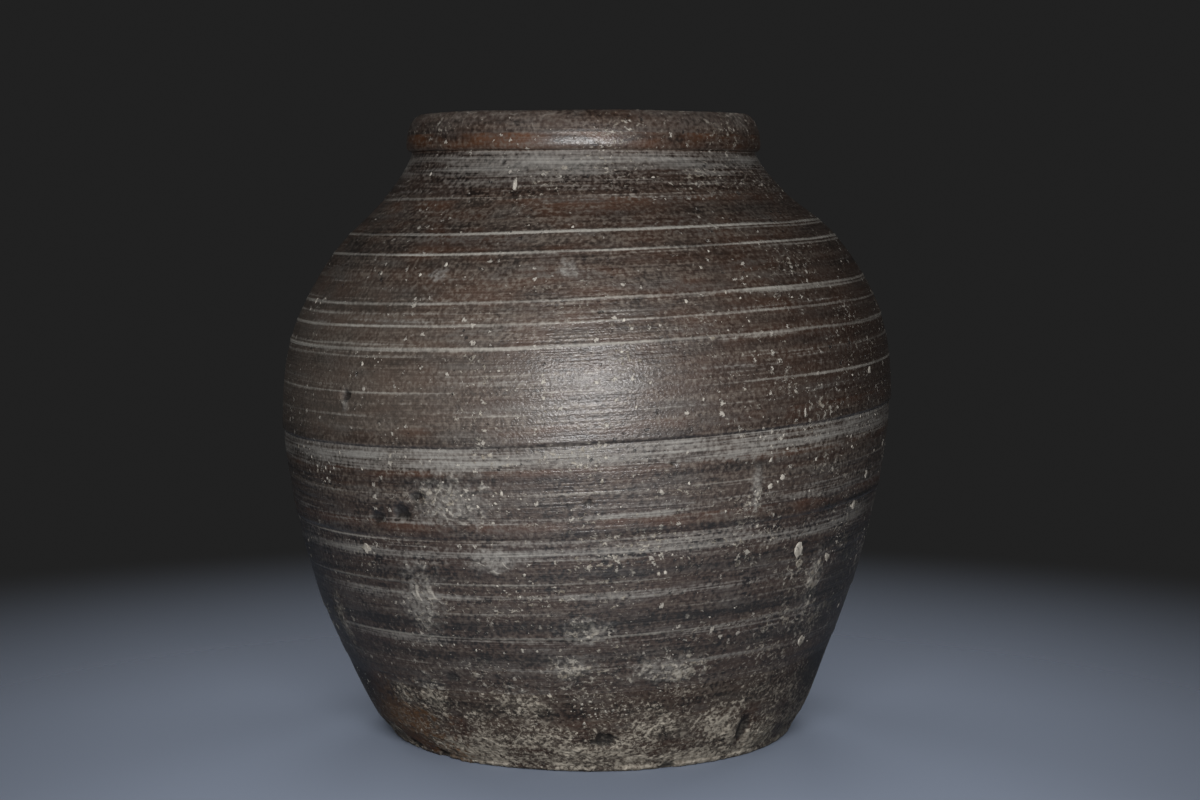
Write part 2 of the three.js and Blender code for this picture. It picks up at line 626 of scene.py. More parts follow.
@dataclass
class JarShape:
    """Sizes of the whole jar, and the sections of its pieces."""

    base_radius: float = 73.4
    base_top_radius: float = 78.4
    base_thickness: float = 9.0
    base_edge_round: float = 2.0
    base_hollow: float = 1.0
    base_hollow_power: float = 6.0
    base_crust: float = 0.3
    base_step: float = 4.5
    courses: tuple[Course, ...] = (
        Course("foot_course", Slot.FOOT, 21, 87.4),
        Course("lower_wall_course", Slot.WALL, 26, 97.3),
        Course("middle_wall_course", Slot.WALL, 27.5, 104),
        Course("upper_wall_course", Slot.WALL, 30.5, 108.2),
        Course("belly_course", Slot.WALL, 31.5, 105.1),
        Course("shoulder_course", Slot.WALL, 29, 89.2),
        Course("upper_shoulder_course", Slot.WALL, 17.3, 70.9),
        Course("neck_collar", Slot.LIP, 14.9, 61),
    )
    wall: float = 7.0
    scarf_rise: float = 4.0
    heel_width: float = 10.0
    heel_height: float = 12.0
    lip_height: float = 13.3
    lip_width: float = 11.2
    lip_overhang: float = 2.1
    lip_under_roll: float = 2.0
    lip_crest_inset: float = 6.2
    lip_mouth_drop: float = 7.0
    lip_inner_edge: float = 3.0
    lip_crust: float = 0.7
    lip_crust_from: float = 0.35
    inner_give: float = 0.5
    under_give: float = 0.15
    floor_give: float = 0.3
    ridge_spacing: float = 7.5
    ridge_rise: float = 0.3
    fine_step: float = 0.45
    coarse_step: float = 1.5
    turning: Turning = field(default_factory=Turning)
    outline: Outline = field(init=False)

    def __post_init__(self) -> None:
        """Stack the courses into the outline, with an upright end over the neck."""
        stations = [(self.base_radius, 0.0), (self.base_top_radius, self.base_thickness)]
        for course in self.courses:
            stations.append((course.radius, stations[-1][1] + course.height))
        self.neck_top = stations[-1][1]
        stations.append((stations[-1][0], self.neck_top + self.lip_height))
        self.outline = Outline(stations)

    def outer_points(self, station: int) -> list[Point]:
        """Outer face of a course, upwards, with the ledges and lines of the turning.

        Args:
            station: Joint at the foot of the course.

        Returns:
            The points of the face.
        """
        ends = self.outline.stations[station : station + 2]
        count = round(math.dist(*ends) / self.fine_step)
        points = []
        for i in range(count + 1):
            place = station + i / count
            height = self.outline.point(place)[1]
            points.append(self.outline.offset(place, self.turning.relief(height)))
        return points

    def inner_points(self, station: int, lowest: float, upper_rise: float) -> list[Point]:
        """Inner face of a course, downwards, with the ridges that fingers left.

        Args:
            station: Joint at the foot of the course.
            lowest: Share of the course's height at which the face ends.
            upper_rise: Rise of the lap at the top.

        Returns:
            The points of the face.
        """
        course = self.courses[station - 1]
        count = round(course.height * (1 - lowest) / self.coarse_step)
        points = []
        for i in range(count + 1):
            share = 1 - (1 - lowest) * i / count
            rise = self.scarf_rise + (upper_rise - self.scarf_rise) * share
            height = self.outline.point(station + share)[1] + rise
            ridge = self.ridge_rise * math.sin(2 * math.pi * height / self.ridge_spacing)
            points.append(self.outline.offset(station + share, ridge - self.wall, rise))
        return points

    def course_section(self, station: int) -> list[Row]:
        """Section of a course: a lap at each end, but level at the slab and under the lip.

        Args:
            station: Joint at the foot of the course.

        Returns:
            The rows of the section.
        """
        outer = self.outer_points(station)
        if station == 1:
            inner = self.inner_points(station, self.heel_height / self.courses[0].height,
                                      self.scarf_rise)
            inner += self.heel_points(inner)[1:]
        elif station == len(self.courses):
            inner = self.inner_points(station, 0, 0)
            inner[0] = (inner[0][0], self.neck_top)
            outer[-1] = (outer[-1][0], self.neck_top)
        else:
            inner = self.inner_points(station, 0, self.scarf_rise)
        rows = face_rows(outer)
        for row in rows:
            row.crust = self.turning.crust(row.height)
        return rows + face_rows(inner, give=self.inner_give, inside=1)

    def heel_points(self, inner: list[Point]) -> list[Point]:
        """Clay pressed into the corner: a curve from the wall down to the slab.

        Args:
            inner: Inner face of the foot course, whose end the heel goes on from.

        Returns:
            The points of the curve, from the wall to the slab.
        """
        (upper_radius, upper_height), (radius, height) = inner[-2:]
        slope = (upper_radius - radius) / (upper_height - height)
        seat = self.base_thickness
        corner = radius - slope * (height - seat)
        toe = corner - self.heel_width
        count = round(self.heel_width / self.coarse_step) * 2
        points = []
        for i in range(count + 1):
            t = i / count
            weights = ((1 - t) ** 2, 2 * t * (1 - t), t * t)
            points.append((
                weights[0] * radius + weights[1] * corner + weights[2] * toe,
                weights[0] * height + (weights[1] + weights[2]) * seat,
            ))
        return points

    def base_section(self) -> list[Row]:
        """Section of the slab: hollowed a little below, rounded at its edge, flat above.

        Returns:
            The rows of the section.
        """
        edge = self.base_radius - self.base_edge_round
        below = []
        for radius, _ in straight((0, 0), (edge, 0), self.base_step):
            flat = (radius / edge) ** self.base_hollow_power
            below.append((radius, self.base_hollow * (1 - flat)))
        round_over = arc((edge, self.base_edge_round), (self.base_edge_round,) * 2, -90, 0,
                         self.fine_step)
        top = (self.base_top_radius + self.turning.relief(self.base_thickness),
               self.base_thickness)
        side = straight(round_over[-1], top, self.fine_step)
        above = straight(top, (0, self.base_thickness), self.base_step)
        rows = face_rows(below, give=self.under_give, inside=1)
        rows += face_rows(round_over[1:] + side[1:])
        rows += face_rows(above[1:], give=self.floor_give, inside=1)
        for row in rows:
            row.crust = self.base_crust if row.inside else self.turning.crust_most
        return rows

    def lip_section(self) -> list[Row]:
        """Section of the lip: a roll below, a long quarter round outside, a short one inside.

        Returns:
            The rows of the section.
        """
        seat, top = self.neck_top, self.neck_top + self.lip_height
        outer = self.courses[-1].radius + self.lip_overhang
        inner = outer - self.lip_width
        crest = outer - self.lip_crest_inset
        roll = self.lip_under_roll
        step = self.fine_step
        face = arc((outer - roll, seat + roll), (roll, roll), -90, 0, step)
        face += arc((crest, seat + roll), (outer - crest, top - seat - roll), 0, 90, step)[1:]
        mouth = top - self.lip_mouth_drop
        face += arc((crest, mouth), (crest - inner, self.lip_mouth_drop), 90, 180, step)[1:]
        face += straight((inner, mouth), (inner, seat + roll), step)[1:]
        face += arc((inner + roll, seat + roll), (roll, roll), 180, 270, step)[1:]
        rows = face_rows(face)
        for row in rows:
            share = (row.height - seat) / self.lip_height
            row.crust = self.lip_crust * max(0.0, share - self.lip_crust_from)
            row.inside = 1.0 if row.radius < crest - self.lip_inner_edge else 0.0
        return rows


@dataclass
class Turner:
    """Turns sections into rings of clay with one Geometry Nodes tree.

    The tree sweeps a section round the axis, gives it lumps, ripples, crust and single marks,
    keeps what the finish needs as attributes, and then leans the rings as the real wall leans.
    """

    shape: JarShape
    marks: tuple[Mark, ...] = (
        # Pits: dents that the finish darkens with painted shade.
        Mark(MarkKind.PIT, -46.5, 130.5, 2.4, 2.2, 1.6),
        Mark(MarkKind.PIT, -34.0, 93.0, 4.0, 2.8, 1.3),
        Mark(MarkKind.PIT, -30.5, 98.5, 3.4, 1.8, 1.2),
        Mark(MarkKind.PIT, -40.0, 91.0, 3.6, 2.6, 0.8),
        Mark(MarkKind.PIT, 0.5, 95.5, 1.3, 1.2, 0.9),
        Mark(MarkKind.PIT, 3.5, 12.0, 4.6, 3.2, 1.5),
        Mark(MarkKind.PIT, 41.0, 11.0, 3.0, 5.0, 1.2),
        Mark(MarkKind.PIT, 1.0, 65.0, 0.9, 0.9, 0.7),
        Mark(MarkKind.PIT, 15.0, 106.5, 1.1, 1.0, 0.7),
        Mark(MarkKind.PIT, -30.0, 35.0, 2.5, 2.5, 0.8),
        Mark(MarkKind.PIT, -25.0, 203.0, 1.0, 0.9, 0.6),
        Mark(MarkKind.PIT, 158.0, 121.0, 2.8, 2.0, 1.2),
        Mark(MarkKind.PIT, -127.0, 71.0, 3.6, 2.4, 1.2),
        Mark(MarkKind.PIT, 104.0, 52.0, 2.2, 2.6, 1.0),
        Mark(MarkKind.PIT, -43.0, 1.0, 3.0, 2.4, 1.6),
        Mark(MarkKind.PIT, -55.0, 2.0, 4.0, 2.0, 1.0),
        Mark(MarkKind.PIT, 21.0, 1.0, 3.5, 1.6, 0.9),
        Mark(MarkKind.PIT, 112.0, 1.5, 4.5, 2.2, 1.2),
        Mark(MarkKind.STAIN, -53.0, 13.0, 24.0, 19.0, 0.0),
        Mark(MarkKind.STAIN, -38.0, 3.0, 9.0, 6.0, 0.0),
        Mark(MarkKind.STAIN, 135.0, 16.0, 22.0, 11.0, 0.0),
        # Painted shade: dark patches on the lower wall at its left and right edges.
        Mark(MarkKind.LOW_EDGE_SHADE, -75.0, 62.0, 25.0, 30.0, 0.0),
        Mark(MarkKind.LOW_EDGE_SHADE, -67.0, 30.0, 15.0, 17.0, 0.0),
        Mark(MarkKind.LOW_EDGE_SHADE, 62.0, 56.0, 16.0, 20.0, 0.0),
        Mark(MarkKind.LOW_EDGE_SHADE, 68.0, 26.0, 18.0, 18.0, 0.0),
        Mark(MarkKind.CRUST, -14.0, 26.0, 9.0, 6.0, 0.4),
        Mark(MarkKind.CRUST, -37.0, 27.0, 6.0, 8.0, 0.4),
        Mark(MarkKind.CRUST, -46.0, 26.0, 8.0, 6.0, 0.4),
        Mark(MarkKind.CRUST, -34.0, 4.0, 6.0, 4.0, 0.6),
        Mark(MarkKind.CRUST, 47.0, 5.0, 5.0, 4.0, 0.4),
        Mark(MarkKind.CRUST, -30.0, 168.5, 3.5, 2.2, 0.2),
        Mark(MarkKind.CRUST, -3.0, 169.5, 3.0, 2.6, 0.2),
        Mark(MarkKind.CRUST, -46.5, 127.5, 2.0, 2.6, 0.4),
        Mark(MarkKind.CRUST, -24.0, 97.0, 15.0, 8.0, 0.3),
        Mark(MarkKind.CRUST, -33.0, 63.0, 8.0, 14.0, 0.35),
        Mark(MarkKind.CRUST, -3.0, 40.0, 8.0, 5.0, 0.3),
        Mark(MarkKind.CRUST, 16.0, 37.0, 13.0, 5.0, 0.4),
        Mark(MarkKind.CRUST, 0.0, 53.0, 9.0, 4.0, 0.25),
        Mark(MarkKind.CRUST, 37.0, 11.0, 4.0, 7.0, 0.5),
        Mark(MarkKind.CRUST, -62.0, 50.0, 5.0, 10.0, 0.4),
        Mark(MarkKind.CRUST, -17.0, 77.0, 9.0, 4.0, 0.2),
        Mark(MarkKind.CRUST, 31.0, 97.0, 1.7, 9.0, 0.2),
        Mark(MarkKind.CRUST, 50.0, 60.0, 5.0, 12.0, 0.3),
        Mark(MarkKind.CRUST, 120.0, 88.0, 14.0, 9.0, 0.35),
        Mark(MarkKind.CRUST, -150.0, 60.0, 10.0, 13.0, 0.35),
        Mark(MarkKind.CRUST, 172.0, 104.0, 16.0, 6.0, 0.3),
    )
    columns: int = 840
    lean: float = 2.75
    lean_power: float = 4.0
    drift: float = 2.4
    lumps: Pattern = Pattern(45, 45, 1)
    lump_depth: float = 1.0
    ripples: Pattern = Pattern(90, 6, 2)
    ripple_depth: float = 0.35
    scratches: Pattern = Pattern(55, 1.2, 1)
    scratch_depth: float = 0.12
    grains: Pattern = Pattern(2.4, 2.4, 2)
    grain_depth: float = 0.7
    clumps: Pattern = Pattern(16, 9.6, 3, 0.36, 0.55)
    waver: Pattern = Pattern(110, 110, 1)
    wobble: float = 1.6
    breaks: Pattern = Pattern(34, 5, 2, 0.3, 0.55)
    unbroken: Span = (0.65, 1.0)
    clouds: Pattern = Pattern(40, 9, 2, 0.3, 0.65)
    clouded: Span = (0.5, 1.25)
    edges: Pattern = Pattern(2.6, 2.0, 3)
    ragged_edge: float = 2.6
    firm_edge: float = 1.7
    mark_edge: Span = (1.3, 0.3)
    mark_through: float = 28.0
    pit_shade_edge: Span = (0.2, 0.6)
    stain_gain: float = 1.8
    edge_shade_most: float = 0.92
    crust_gain: float = 1.1
    crease_level: float = 0.9
    tree: bpy.types.NodeTree = field(init=False)

    def __post_init__(self) -> None:
        """Build the tree that every ring of clay goes through."""
        self.tree = self.build_tree()

    def build_tree(self) -> bpy.types.NodeTree:
        """Build the tree: sweep, surface values, relief, lean, shading and material.

        Returns:
            The Geometry Nodes tree, with its sizes as named inputs.
        """
        numbers = ("Sweep Radius", "Lump Depth", "Ripple Depth", "Grain Depth", "Wobble", "Lean",
                   "Drift")
        kinds = {"Section": "Geometry", "Columns": "Int", **dict.fromkeys(numbers, "Float"),
                 "Clay": "Material"}
        tree, given = open_tree("turned_clay", kinds, "Ring")
        ring = self.sweep(tree, given)
        on = self.places(tree)
        on |= self.slip_values(tree, on)
        on |= self.mark_values(tree, on)
        on["push"] = self.relief(tree, given, on)

        # What the finish and the lean read, kept before anything moves.
        for name in ("turned", "push", "slip", "bloom", "crust", "shade_and_dark", "rusted"):
            kind = "FLOAT_VECTOR" if name in ("turned", "push") else "FLOAT"
            ring = add_node(tree, STORE, {"Geometry": ring, "Name": name, "Value": on[name]},
                            data_type=kind, domain="POINT")
        ring = self.leaned(tree, given, on, ring)

        # Faces shade smoothly, except over the corners where two faces of a section meet.
        ring = add_node(tree, "GeometryNodeSetShadeSmooth", {"Geometry": ring})
        crease = add_node(tree, "FunctionNodeCompare",
                          {"A": on["corner"], "B": self.crease_level},
                          data_type="FLOAT", operation="GREATER_THAN")
        ring = add_node(tree, "GeometryNodeSetShadeSmooth",
                        {"Geometry": ring, "Selection": crease, "Shade Smooth": False},
                        domain="EDGE")
        for name in ("push", "aim", "lines", "tones", "give", "corner", "bands", "crusted"):
            ring = add_node(tree, "GeometryNodeRemoveAttribute", {"Geometry": ring, "Name": name})
        ring = add_node(tree, "GeometryNodeRealizeInstances", {"Geometry": ring})
        ring = add_node(tree, "GeometryNodeSetMaterial",
                        {"Geometry": ring, "Material": given["Clay"]})
        add_node(tree, "NodeGroupOutput", {0: ring})
        return tree

    def sweep(self, tree: bpy.types.NodeTree, given: Fields) -> Socket:
        """Carry the section round a circle, whose normals point straight out.

        Args:
            tree: The ring's tree.
            given: Its inputs.

        Returns:
            The upright ring.
        """
        inwards = add_node(tree, MATH, {0: given["Sweep Radius"], 1: -1.0}, operation="MULTIPLY")
        shift = add_node(tree, "ShaderNodeCombineXYZ", {"X": inwards})
        moved = add_node(tree, "GeometryNodeSetPosition",
                         {"Geometry": given["Section"], "Offset": shift})
        profile = add_node(tree, "GeometryNodeMeshToCurve", {"Mesh": moved})
        circle = add_node(tree, "GeometryNodeCurvePrimitiveCircle",
                          {"Resolution": given["Columns"], "Radius": given["Sweep Radius"]})
        path = add_node(tree, "GeometryNodeSetCurveNormal", {"Curve": circle}, mode="Z_UP")
        swept = add_node(tree, "GeometryNodeCurveToMesh", {"Curve": path, "Profile Curve": profile})
        return add_node(tree, "GeometryNodeMergeByDistance", {"Geometry": swept, "Distance": WELD})

    def places(self, tree: bpy.types.NodeTree) -> Fields:
        """Read where each point of the upright ring is, and the values of its row.

        Args:
            tree: The ring's tree.

        Returns:
            The place in metres and in millimetres, the way out from the axis, and the row values.
        """
        position = add_node(tree, "GeometryNodeInputPosition")
        flat = add_node(tree, VECTOR, {0: position, 1: (1, 1, 0)}, operation="MULTIPLY")
        on = {
            "turned": position,
            "place": add_node(tree, VECTOR, {0: position, "Scale": 1 / MM}, operation="SCALE"),
            "outwards": add_node(tree, VECTOR, {0: flat}, operation="NORMALIZE"),
        }
        for kind, names in (("FLOAT_VECTOR", ("aim", "lines", "tones")),
                            ("FLOAT", ("give", "corner", "bands", "crusted", "rusted"))):
            for name in names:
                on[name] = add_node(tree, NAMED, {"Name": name}, data_type=kind)
        return on

    def slip_values(self, tree: bpy.types.NodeTree, on: Fields) -> Fields:
        """Work out the slip lines and the chalky bands, which break up round the jar.

        Args:
            tree: The ring's tree.
            on: Values of its points.

        Returns:
            The slip and the bloom.
        """
        bands = self.gained(tree, on["tones"], on["outwards"])
        bands = add_node(tree, MATH, {0: bands, 1: on["bands"]}, operation="ADD")
        slip = self.gained(tree, on["lines"], on["outwards"])
        made = {}
        for name, strength, look, (least, most) in (
            ("slip", slip, self.breaks, self.unbroken),
            ("bloom", bands, self.clouds, self.clouded),
        ):
            broken = add_node(tree, RANGE, {"Value": look.noise(tree, on["place"]),
                                            "From Min": look.low, "From Max": look.high,
                                            "To Min": least, "To Max": most})
            made[name] = add_node(tree, MATH, {0: strength, 1: broken}, operation="MULTIPLY")
        return made

    def gained(self, tree: bpy.types.NodeTree, lines: Socket, outwards: Socket) -> Socket:
        """Strength of lines at each bearing, from their mean and their gains.

        Args:
            tree: The ring's tree.
            lines: Gains to +X and +Y, and the mean, as a vector.
            outwards: Unit vector away from the axis.

        Returns:
            The strength.
        """
        sides = add_node(tree, VECTOR, {0: lines, 1: outwards}, operation="DOT_PRODUCT")
        mean = add_node(tree, SPLIT, {"Vector": lines}).node.outputs["Z"]
        return add_node(tree, MATH, {0: sides.node.outputs["Value"], 1: mean}, operation="ADD")

    def mark_values(self, tree: bpy.types.NodeTree, on: Fields) -> Fields:
        """Work out what the single marks and the crust of the foot leave on the ring.

        Args:
            tree: The ring's tree.
            on: Values of its points.

        Returns:
            How far the marks stand out, their painted shade, and their rust and crust.
        """
        edges = self.edges.noise(tree, on["place"])
        ragged, firm = (
            add_node(tree, MATH, {0: edges, 1: depth, 2: -depth / 2}, operation="MULTIPLY_ADD")
            for depth in (self.ragged_edge, self.firm_edge)
        )
        clump = add_node(tree, RANGE, {"Value": self.clumps.noise(tree, on["place"]),
                                       "From Min": self.clumps.low, "From Max": self.clumps.high})
        crust = add_node(tree, MATH, {0: clump, 1: on["crusted"]}, operation="MULTIPLY")
        stand: Socket | float = 0.0
        shade_and_dark: Socket | float = 0.0
        rusted = on["rusted"]
        pit_shade_low, pit_shade_high = self.pit_shade_edge
        for mark in self.marks:
            pitted = mark.kind is MarkKind.PIT
            mask = self.spot(tree, on["place"], firm if pitted else ragged, mark)
            if mark.depth:
                depth = -mark.depth if pitted else mark.depth
                stand = add_node(tree, MATH, {0: mask, 1: depth, 2: stand},
                                 operation="MULTIPLY_ADD")
            if mark.kind is MarkKind.STAIN:
                rusted = add_node(tree, MATH, {0: mask, 1: self.stain_gain, 2: rusted},
                                  operation="MULTIPLY_ADD")
            elif mark.kind is MarkKind.CRUST:
                patch = add_node(tree, MATH, {0: mask, 1: self.crust_gain}, operation="MULTIPLY")
                crust = add_node(tree, MATH, {0: patch, 1: crust}, operation="MAXIMUM")
            else:
                # Pits and the patches at the lower side edges are darkened with painted shade.
                if pitted:
                    burnt = add_node(tree, RANGE, {"Value": mask, "From Min": pit_shade_low,
                                                   "From Max": pit_shade_high})
                else:
                    burnt = add_node(tree, MATH, {0: mask, 1: self.edge_shade_most},
                                     operation="MULTIPLY")
                shade_and_dark = add_node(tree, MATH, {0: burnt, 1: shade_and_dark}, operation="MAXIMUM")
        return {"stand": stand, "shade_and_dark": shade_and_dark, "rusted": rusted, "crust": crust}

    def spot(self, tree: bpy.types.NodeTree, place: Socket, edge: Socket, mark: Mark) -> Socket:
        """Mask of a single mark, with a broken edge.

        Args:
            tree: The ring's tree.
            place: Places in millimetres.
            edge: Noise that breaks the edge up.
            mark: The mark.

        Returns:
            1 within the mark and 0 outside it.
        """
        bearing = math.radians(mark.bearing)
        radius = self.shape.outline.radius_at(mark.height)
        centre = (radius * math.sin(bearing), -radius * math.cos(bearing), mark.height)
        offset = add_node(tree, VECTOR, {0: place, 1: centre}, operation="SUBTRACT")
        faced = add_node(tree, "ShaderNodeVectorRotate", {"Vector": offset, "Angle": -bearing},
                         rotation_type="Z_AXIS")
        reach = (1 / mark.half_width, 1 / self.mark_through, 1 / mark.half_height)
        scaled = add_node(tree, VECTOR, {0: faced, 1: reach}, operation="MULTIPLY")
        away = add_node(tree, VECTOR, {0: scaled}, operation="LENGTH").node.outputs["Value"]
        uneven = add_node(tree, MATH, {0: away, 1: edge}, operation="ADD")
        outer, full = self.mark_edge
        return add_node(tree, RANGE, {"Value": uneven, "From Min": outer, "From Max": full},
                        interpolation_type="SMOOTHSTEP")

    def relief(self, tree: bpy.types.NodeTree, given: Fields, on: Fields) -> Socket:
        """Work out the relief: marks, hand-made lumps, ripples, scratches and gritty crust.

        Args:
            tree: The ring's tree.
            given: Its inputs.
            on: Values of its points.

        Returns:
            How far each point moves out from its face, as a vector in metres.
        """
        gritty = add_node(tree, MATH, {0: on["crust"], 1: given["Grain Depth"]},
                          operation="MULTIPLY")
        stand = on["stand"]
        for look, depth in (
            (self.lumps, given["Lump Depth"]),
            (self.ripples, given["Ripple Depth"]),
            (self.scratches, self.scratch_depth),
            (self.grains, gritty),
        ):
            swell = add_node(tree, MATH, {0: look.noise(tree, on["place"]), 1: 0.5},
                             operation="SUBTRACT")
            stand = add_node(tree, MATH, {0: swell, 1: depth, 2: stand}, operation="MULTIPLY_ADD")
        for scale in (on["give"], MM):
            stand = add_node(tree, MATH, {0: stand, 1: scale}, operation="MULTIPLY")
        aim = add_node(tree, SPLIT, {"Vector": on["aim"]}).node.outputs
        sideways = add_node(tree, VECTOR, {0: on["outwards"], "Scale": aim["X"]},
                            operation="SCALE")
        upwards = add_node(tree, "ShaderNodeCombineXYZ", {"Z": aim["Z"]})
        facing = add_node(tree, VECTOR, {0: sideways, 1: upwards}, operation="ADD")
        return add_node(tree, VECTOR, {0: facing, "Scale": stand}, operation="SCALE")

    def leaned(self, tree: bpy.types.NodeTree, given: Fields, on: Fields, ring: Socket) -> Socket:
        """Lean the ring: level at the foot and the lip, steepest half way up, with a wobble.

        Args:
            tree: The ring's tree.
            given: Its inputs.
            on: Values of its points.
            ring: The upright ring.

        Returns:
            The ring with its relief and its lean, with nothing under the floor.
        """
        parts = add_node(tree, SPLIT, {"Vector": on["turned"]}).node.outputs
        share = add_node(tree, MATH, {0: parts["Z"], 1: self.shape.neck_top * MM},
                         operation="DIVIDE")
        spread = add_node(tree, MATH, {0: share, 1: 2.0, 2: -1.0}, operation="MULTIPLY_ADD")
        distance = add_node(tree, MATH, {0: spread}, operation="ABSOLUTE")
        power = add_node(tree, MATH, {0: distance, 1: self.lean_power}, operation="POWER")
        middle = add_node(tree, MATH, {0: 1.0, 1: power}, operation="SUBTRACT", use_clamp=True)
        slope = add_node(tree, MATH, {0: given["Lean"], 1: middle}, operation="MULTIPLY")
        rise = add_node(tree, MATH, {0: parts["X"], 1: slope}, operation="MULTIPLY")
        waver = add_node(tree, MATH, {0: self.waver.noise(tree, on["place"]), 1: 0.5},
                         operation="SUBTRACT")
        wave = add_node(tree, MATH, {0: waver, 1: given["Wobble"]}, operation="MULTIPLY")
        lift = add_node(tree, MATH, {0: wave, 1: middle, 2: rise}, operation="MULTIPLY_ADD")
        whole = add_node(tree, MATH, {0: share, 1: 1.0}, operation="MINIMUM")
        sway = add_node(tree, MATH, {0: whole, 1: given["Drift"]}, operation="MULTIPLY")
        shove = add_node(tree, "ShaderNodeCombineXYZ", {"X": sway, "Z": lift})
        pushed = add_node(tree, NAMED, {"Name": "push"}, data_type="FLOAT_VECTOR")
        change = add_node(tree, VECTOR, {0: pushed, 1: shove}, operation="ADD")
        resting = add_node(tree, VECTOR, {0: on["turned"], 1: change}, operation="ADD")
        resting = add_node(tree, VECTOR, {0: resting, 1: (-1.0, -1.0, 0.0)}, operation="MAXIMUM")
        return add_node(tree, "GeometryNodeSetPosition", {"Geometry": ring, "Position": resting})

    def section_mesh(self, name: str, rows: list[Row]) -> bpy.types.Mesh:
        """A section as a mesh of edges, with its row values as attributes.

        Args:
            name: Name of the mesh.
            rows: Rows of the section, anticlockwise.

        Returns:
            The mesh, in metres, with the height along -Y as the sweep wants it.
        """
        rows = rows[::-1]
        turning = self.shape.turning
        mesh = bpy.data.meshes.new(name)
        on_axis = rows[0].radius == 0
        edges = [(i, i + 1) for i in range(len(rows) - 1)]
        if not on_axis:
            edges.append((len(rows) - 1, 0))
        mesh.from_pydata([(r.radius * MM, -r.height * MM, 0) for r in rows], edges, [])
        outside = [1 - r.inside for r in rows]
        vectors = {"aim": [(r.aim[0], 0, r.aim[1]) for r in rows]}
        for key, lines, softness in (
            ("lines", turning.lines, turning.line_softness),
            ("tones", turning.tones, turning.tone_softness),
        ):
            slips = [turning.slip(lines, r.height, softness) for r in rows]
            vectors[key] = [(s[1] * o, -s[2] * o, s[0] * o) for s, o in zip(slips, outside)]
        floats = {
            "give": [r.give for r in rows],
            "corner": [float(r.corner) for r in rows],
            "crusted": [r.crust for r in rows],
            "bands": [band_value(turning.blooms, r.height) * o for r, o in zip(rows, outside)],
            "rusted": [band_value(turning.rusts, r.height) * o for r, o in zip(rows, outside)],
        }
        for key, values in vectors.items():
            keep_vectors(mesh, key, values)
        for key, values in floats.items():
            mesh.attributes.new(key, "FLOAT", "POINT").data.foreach_set("value", values)
        return mesh

    def turn(self, node: str, rows: list[Row], clay: bpy.types.Material) -> bpy.types.Object:
        """Turn a section into a ring of clay.

        Args:
            node: CAD node that the ring stands for.
            rows: Rows of its section.
            clay: Its finish.

        Returns:
            The ring as a plain mesh object at the origin.
        """
        ring = bpy.data.objects.new(f"turned_{node}", self.section_mesh(node, rows))
        bpy.context.collection.objects.link(ring)
        values = {
            "Columns": self.columns,
            "Sweep Radius": self.shape.base_radius * MM,
            "Lump Depth": self.lump_depth,
            "Ripple Depth": self.ripple_depth,
            "Grain Depth": self.grain_depth,
            "Wobble": self.wobble * MM,
            "Lean": math.tan(math.radians(self.lean)),
            "Drift": -self.drift * MM,
            "Clay": clay,
        }
        return apply_tree(ring, self.tree, values)


def apply_tree(
    piece: bpy.types.Object, tree: bpy.types.NodeTree, values: dict[str, object]
) -> bpy.types.Object:
    """Run a Geometry Nodes tree on an object and keep the result as its plain mesh.

    Args:
        piece: Object whose mesh goes in.
        tree: The tree.
        values: The tree's inputs by name.

    Returns:
        The same object, without the modifier.
    """
    modifier = piece.modifiers.new(tree.name, "NODES")
    modifier.node_group = tree
    for item in tree.interface.items_tree:
        if item.in_out == "INPUT" and item.name in values:
            modifier[item.identifier] = values[item.name]
    depsgraph = bpy.context.evaluated_depsgraph_get()
    made = bpy.data.meshes.new_from_object(piece.evaluated_get(depsgraph))
    piece.modifiers.clear()
    piece.data = made
    return piece


@dataclass(frozen=True)
class Dots:
    """Ragged dots, each in a cell of its own: cell size, share of cells in use, largest radius."""

    size: float
    share: float
    reach: float
    tear: float = 3.5
    jolt: float = 0.9
    edge: float = 0.06
    crowd: float = 0.5
    crowd_run: float = 9.0
    crowd_size: float = 6.0
    chance_top: float = 1.1

    def mask(self, tree: bpy.types.NodeTree, place: Socket) -> Socket:
        """The dots, which crowd in some places and are rare in others.

        Args:
            tree: Material's tree.
            place: Places in millimetres.

        Returns:
            1 within a dot and 0 outside it.
        """
        torn = add_node(tree, NOISE, {"Vector": place, "Scale": self.tear / self.size,
                                      "Detail": 2.0})
        jolt = add_node(tree, VECTOR, {0: torn.node.outputs["Color"],
                                       "Scale": self.jolt * self.size}, operation="SCALE")
        ragged = add_node(tree, VECTOR, {0: place, 1: jolt}, operation="ADD")
        cells = add_node(tree, VORONOI, {"Vector": ragged, "Scale": 1 / self.size}).node.outputs
        chance = add_node(tree, SPLIT, {"Vector": cells["Color"]})
        crowd = Pattern(self.crowd_run * self.size, self.crowd_size * self.size, 2).cut(tree, place)
        likely = add_node(tree, MATH, {0: crowd, 1: self.crowd, 2: -self.crowd / 2},
                          operation="MULTIPLY_ADD")
        chance = add_node(tree, MATH, {0: chance, 1: likely}, operation="ADD")
        radius = add_node(tree, RANGE, {"Value": chance, "From Min": 1 - self.share,
                                        "From Max": self.chance_top, "To Max": self.reach})
        inside = add_node(tree, MATH, {0: radius, 1: cells["Distance"]}, operation="SUBTRACT")
        return add_node(tree, RANGE, {"Value": inside, "From Min": 0.0, "From Max": self.edge})


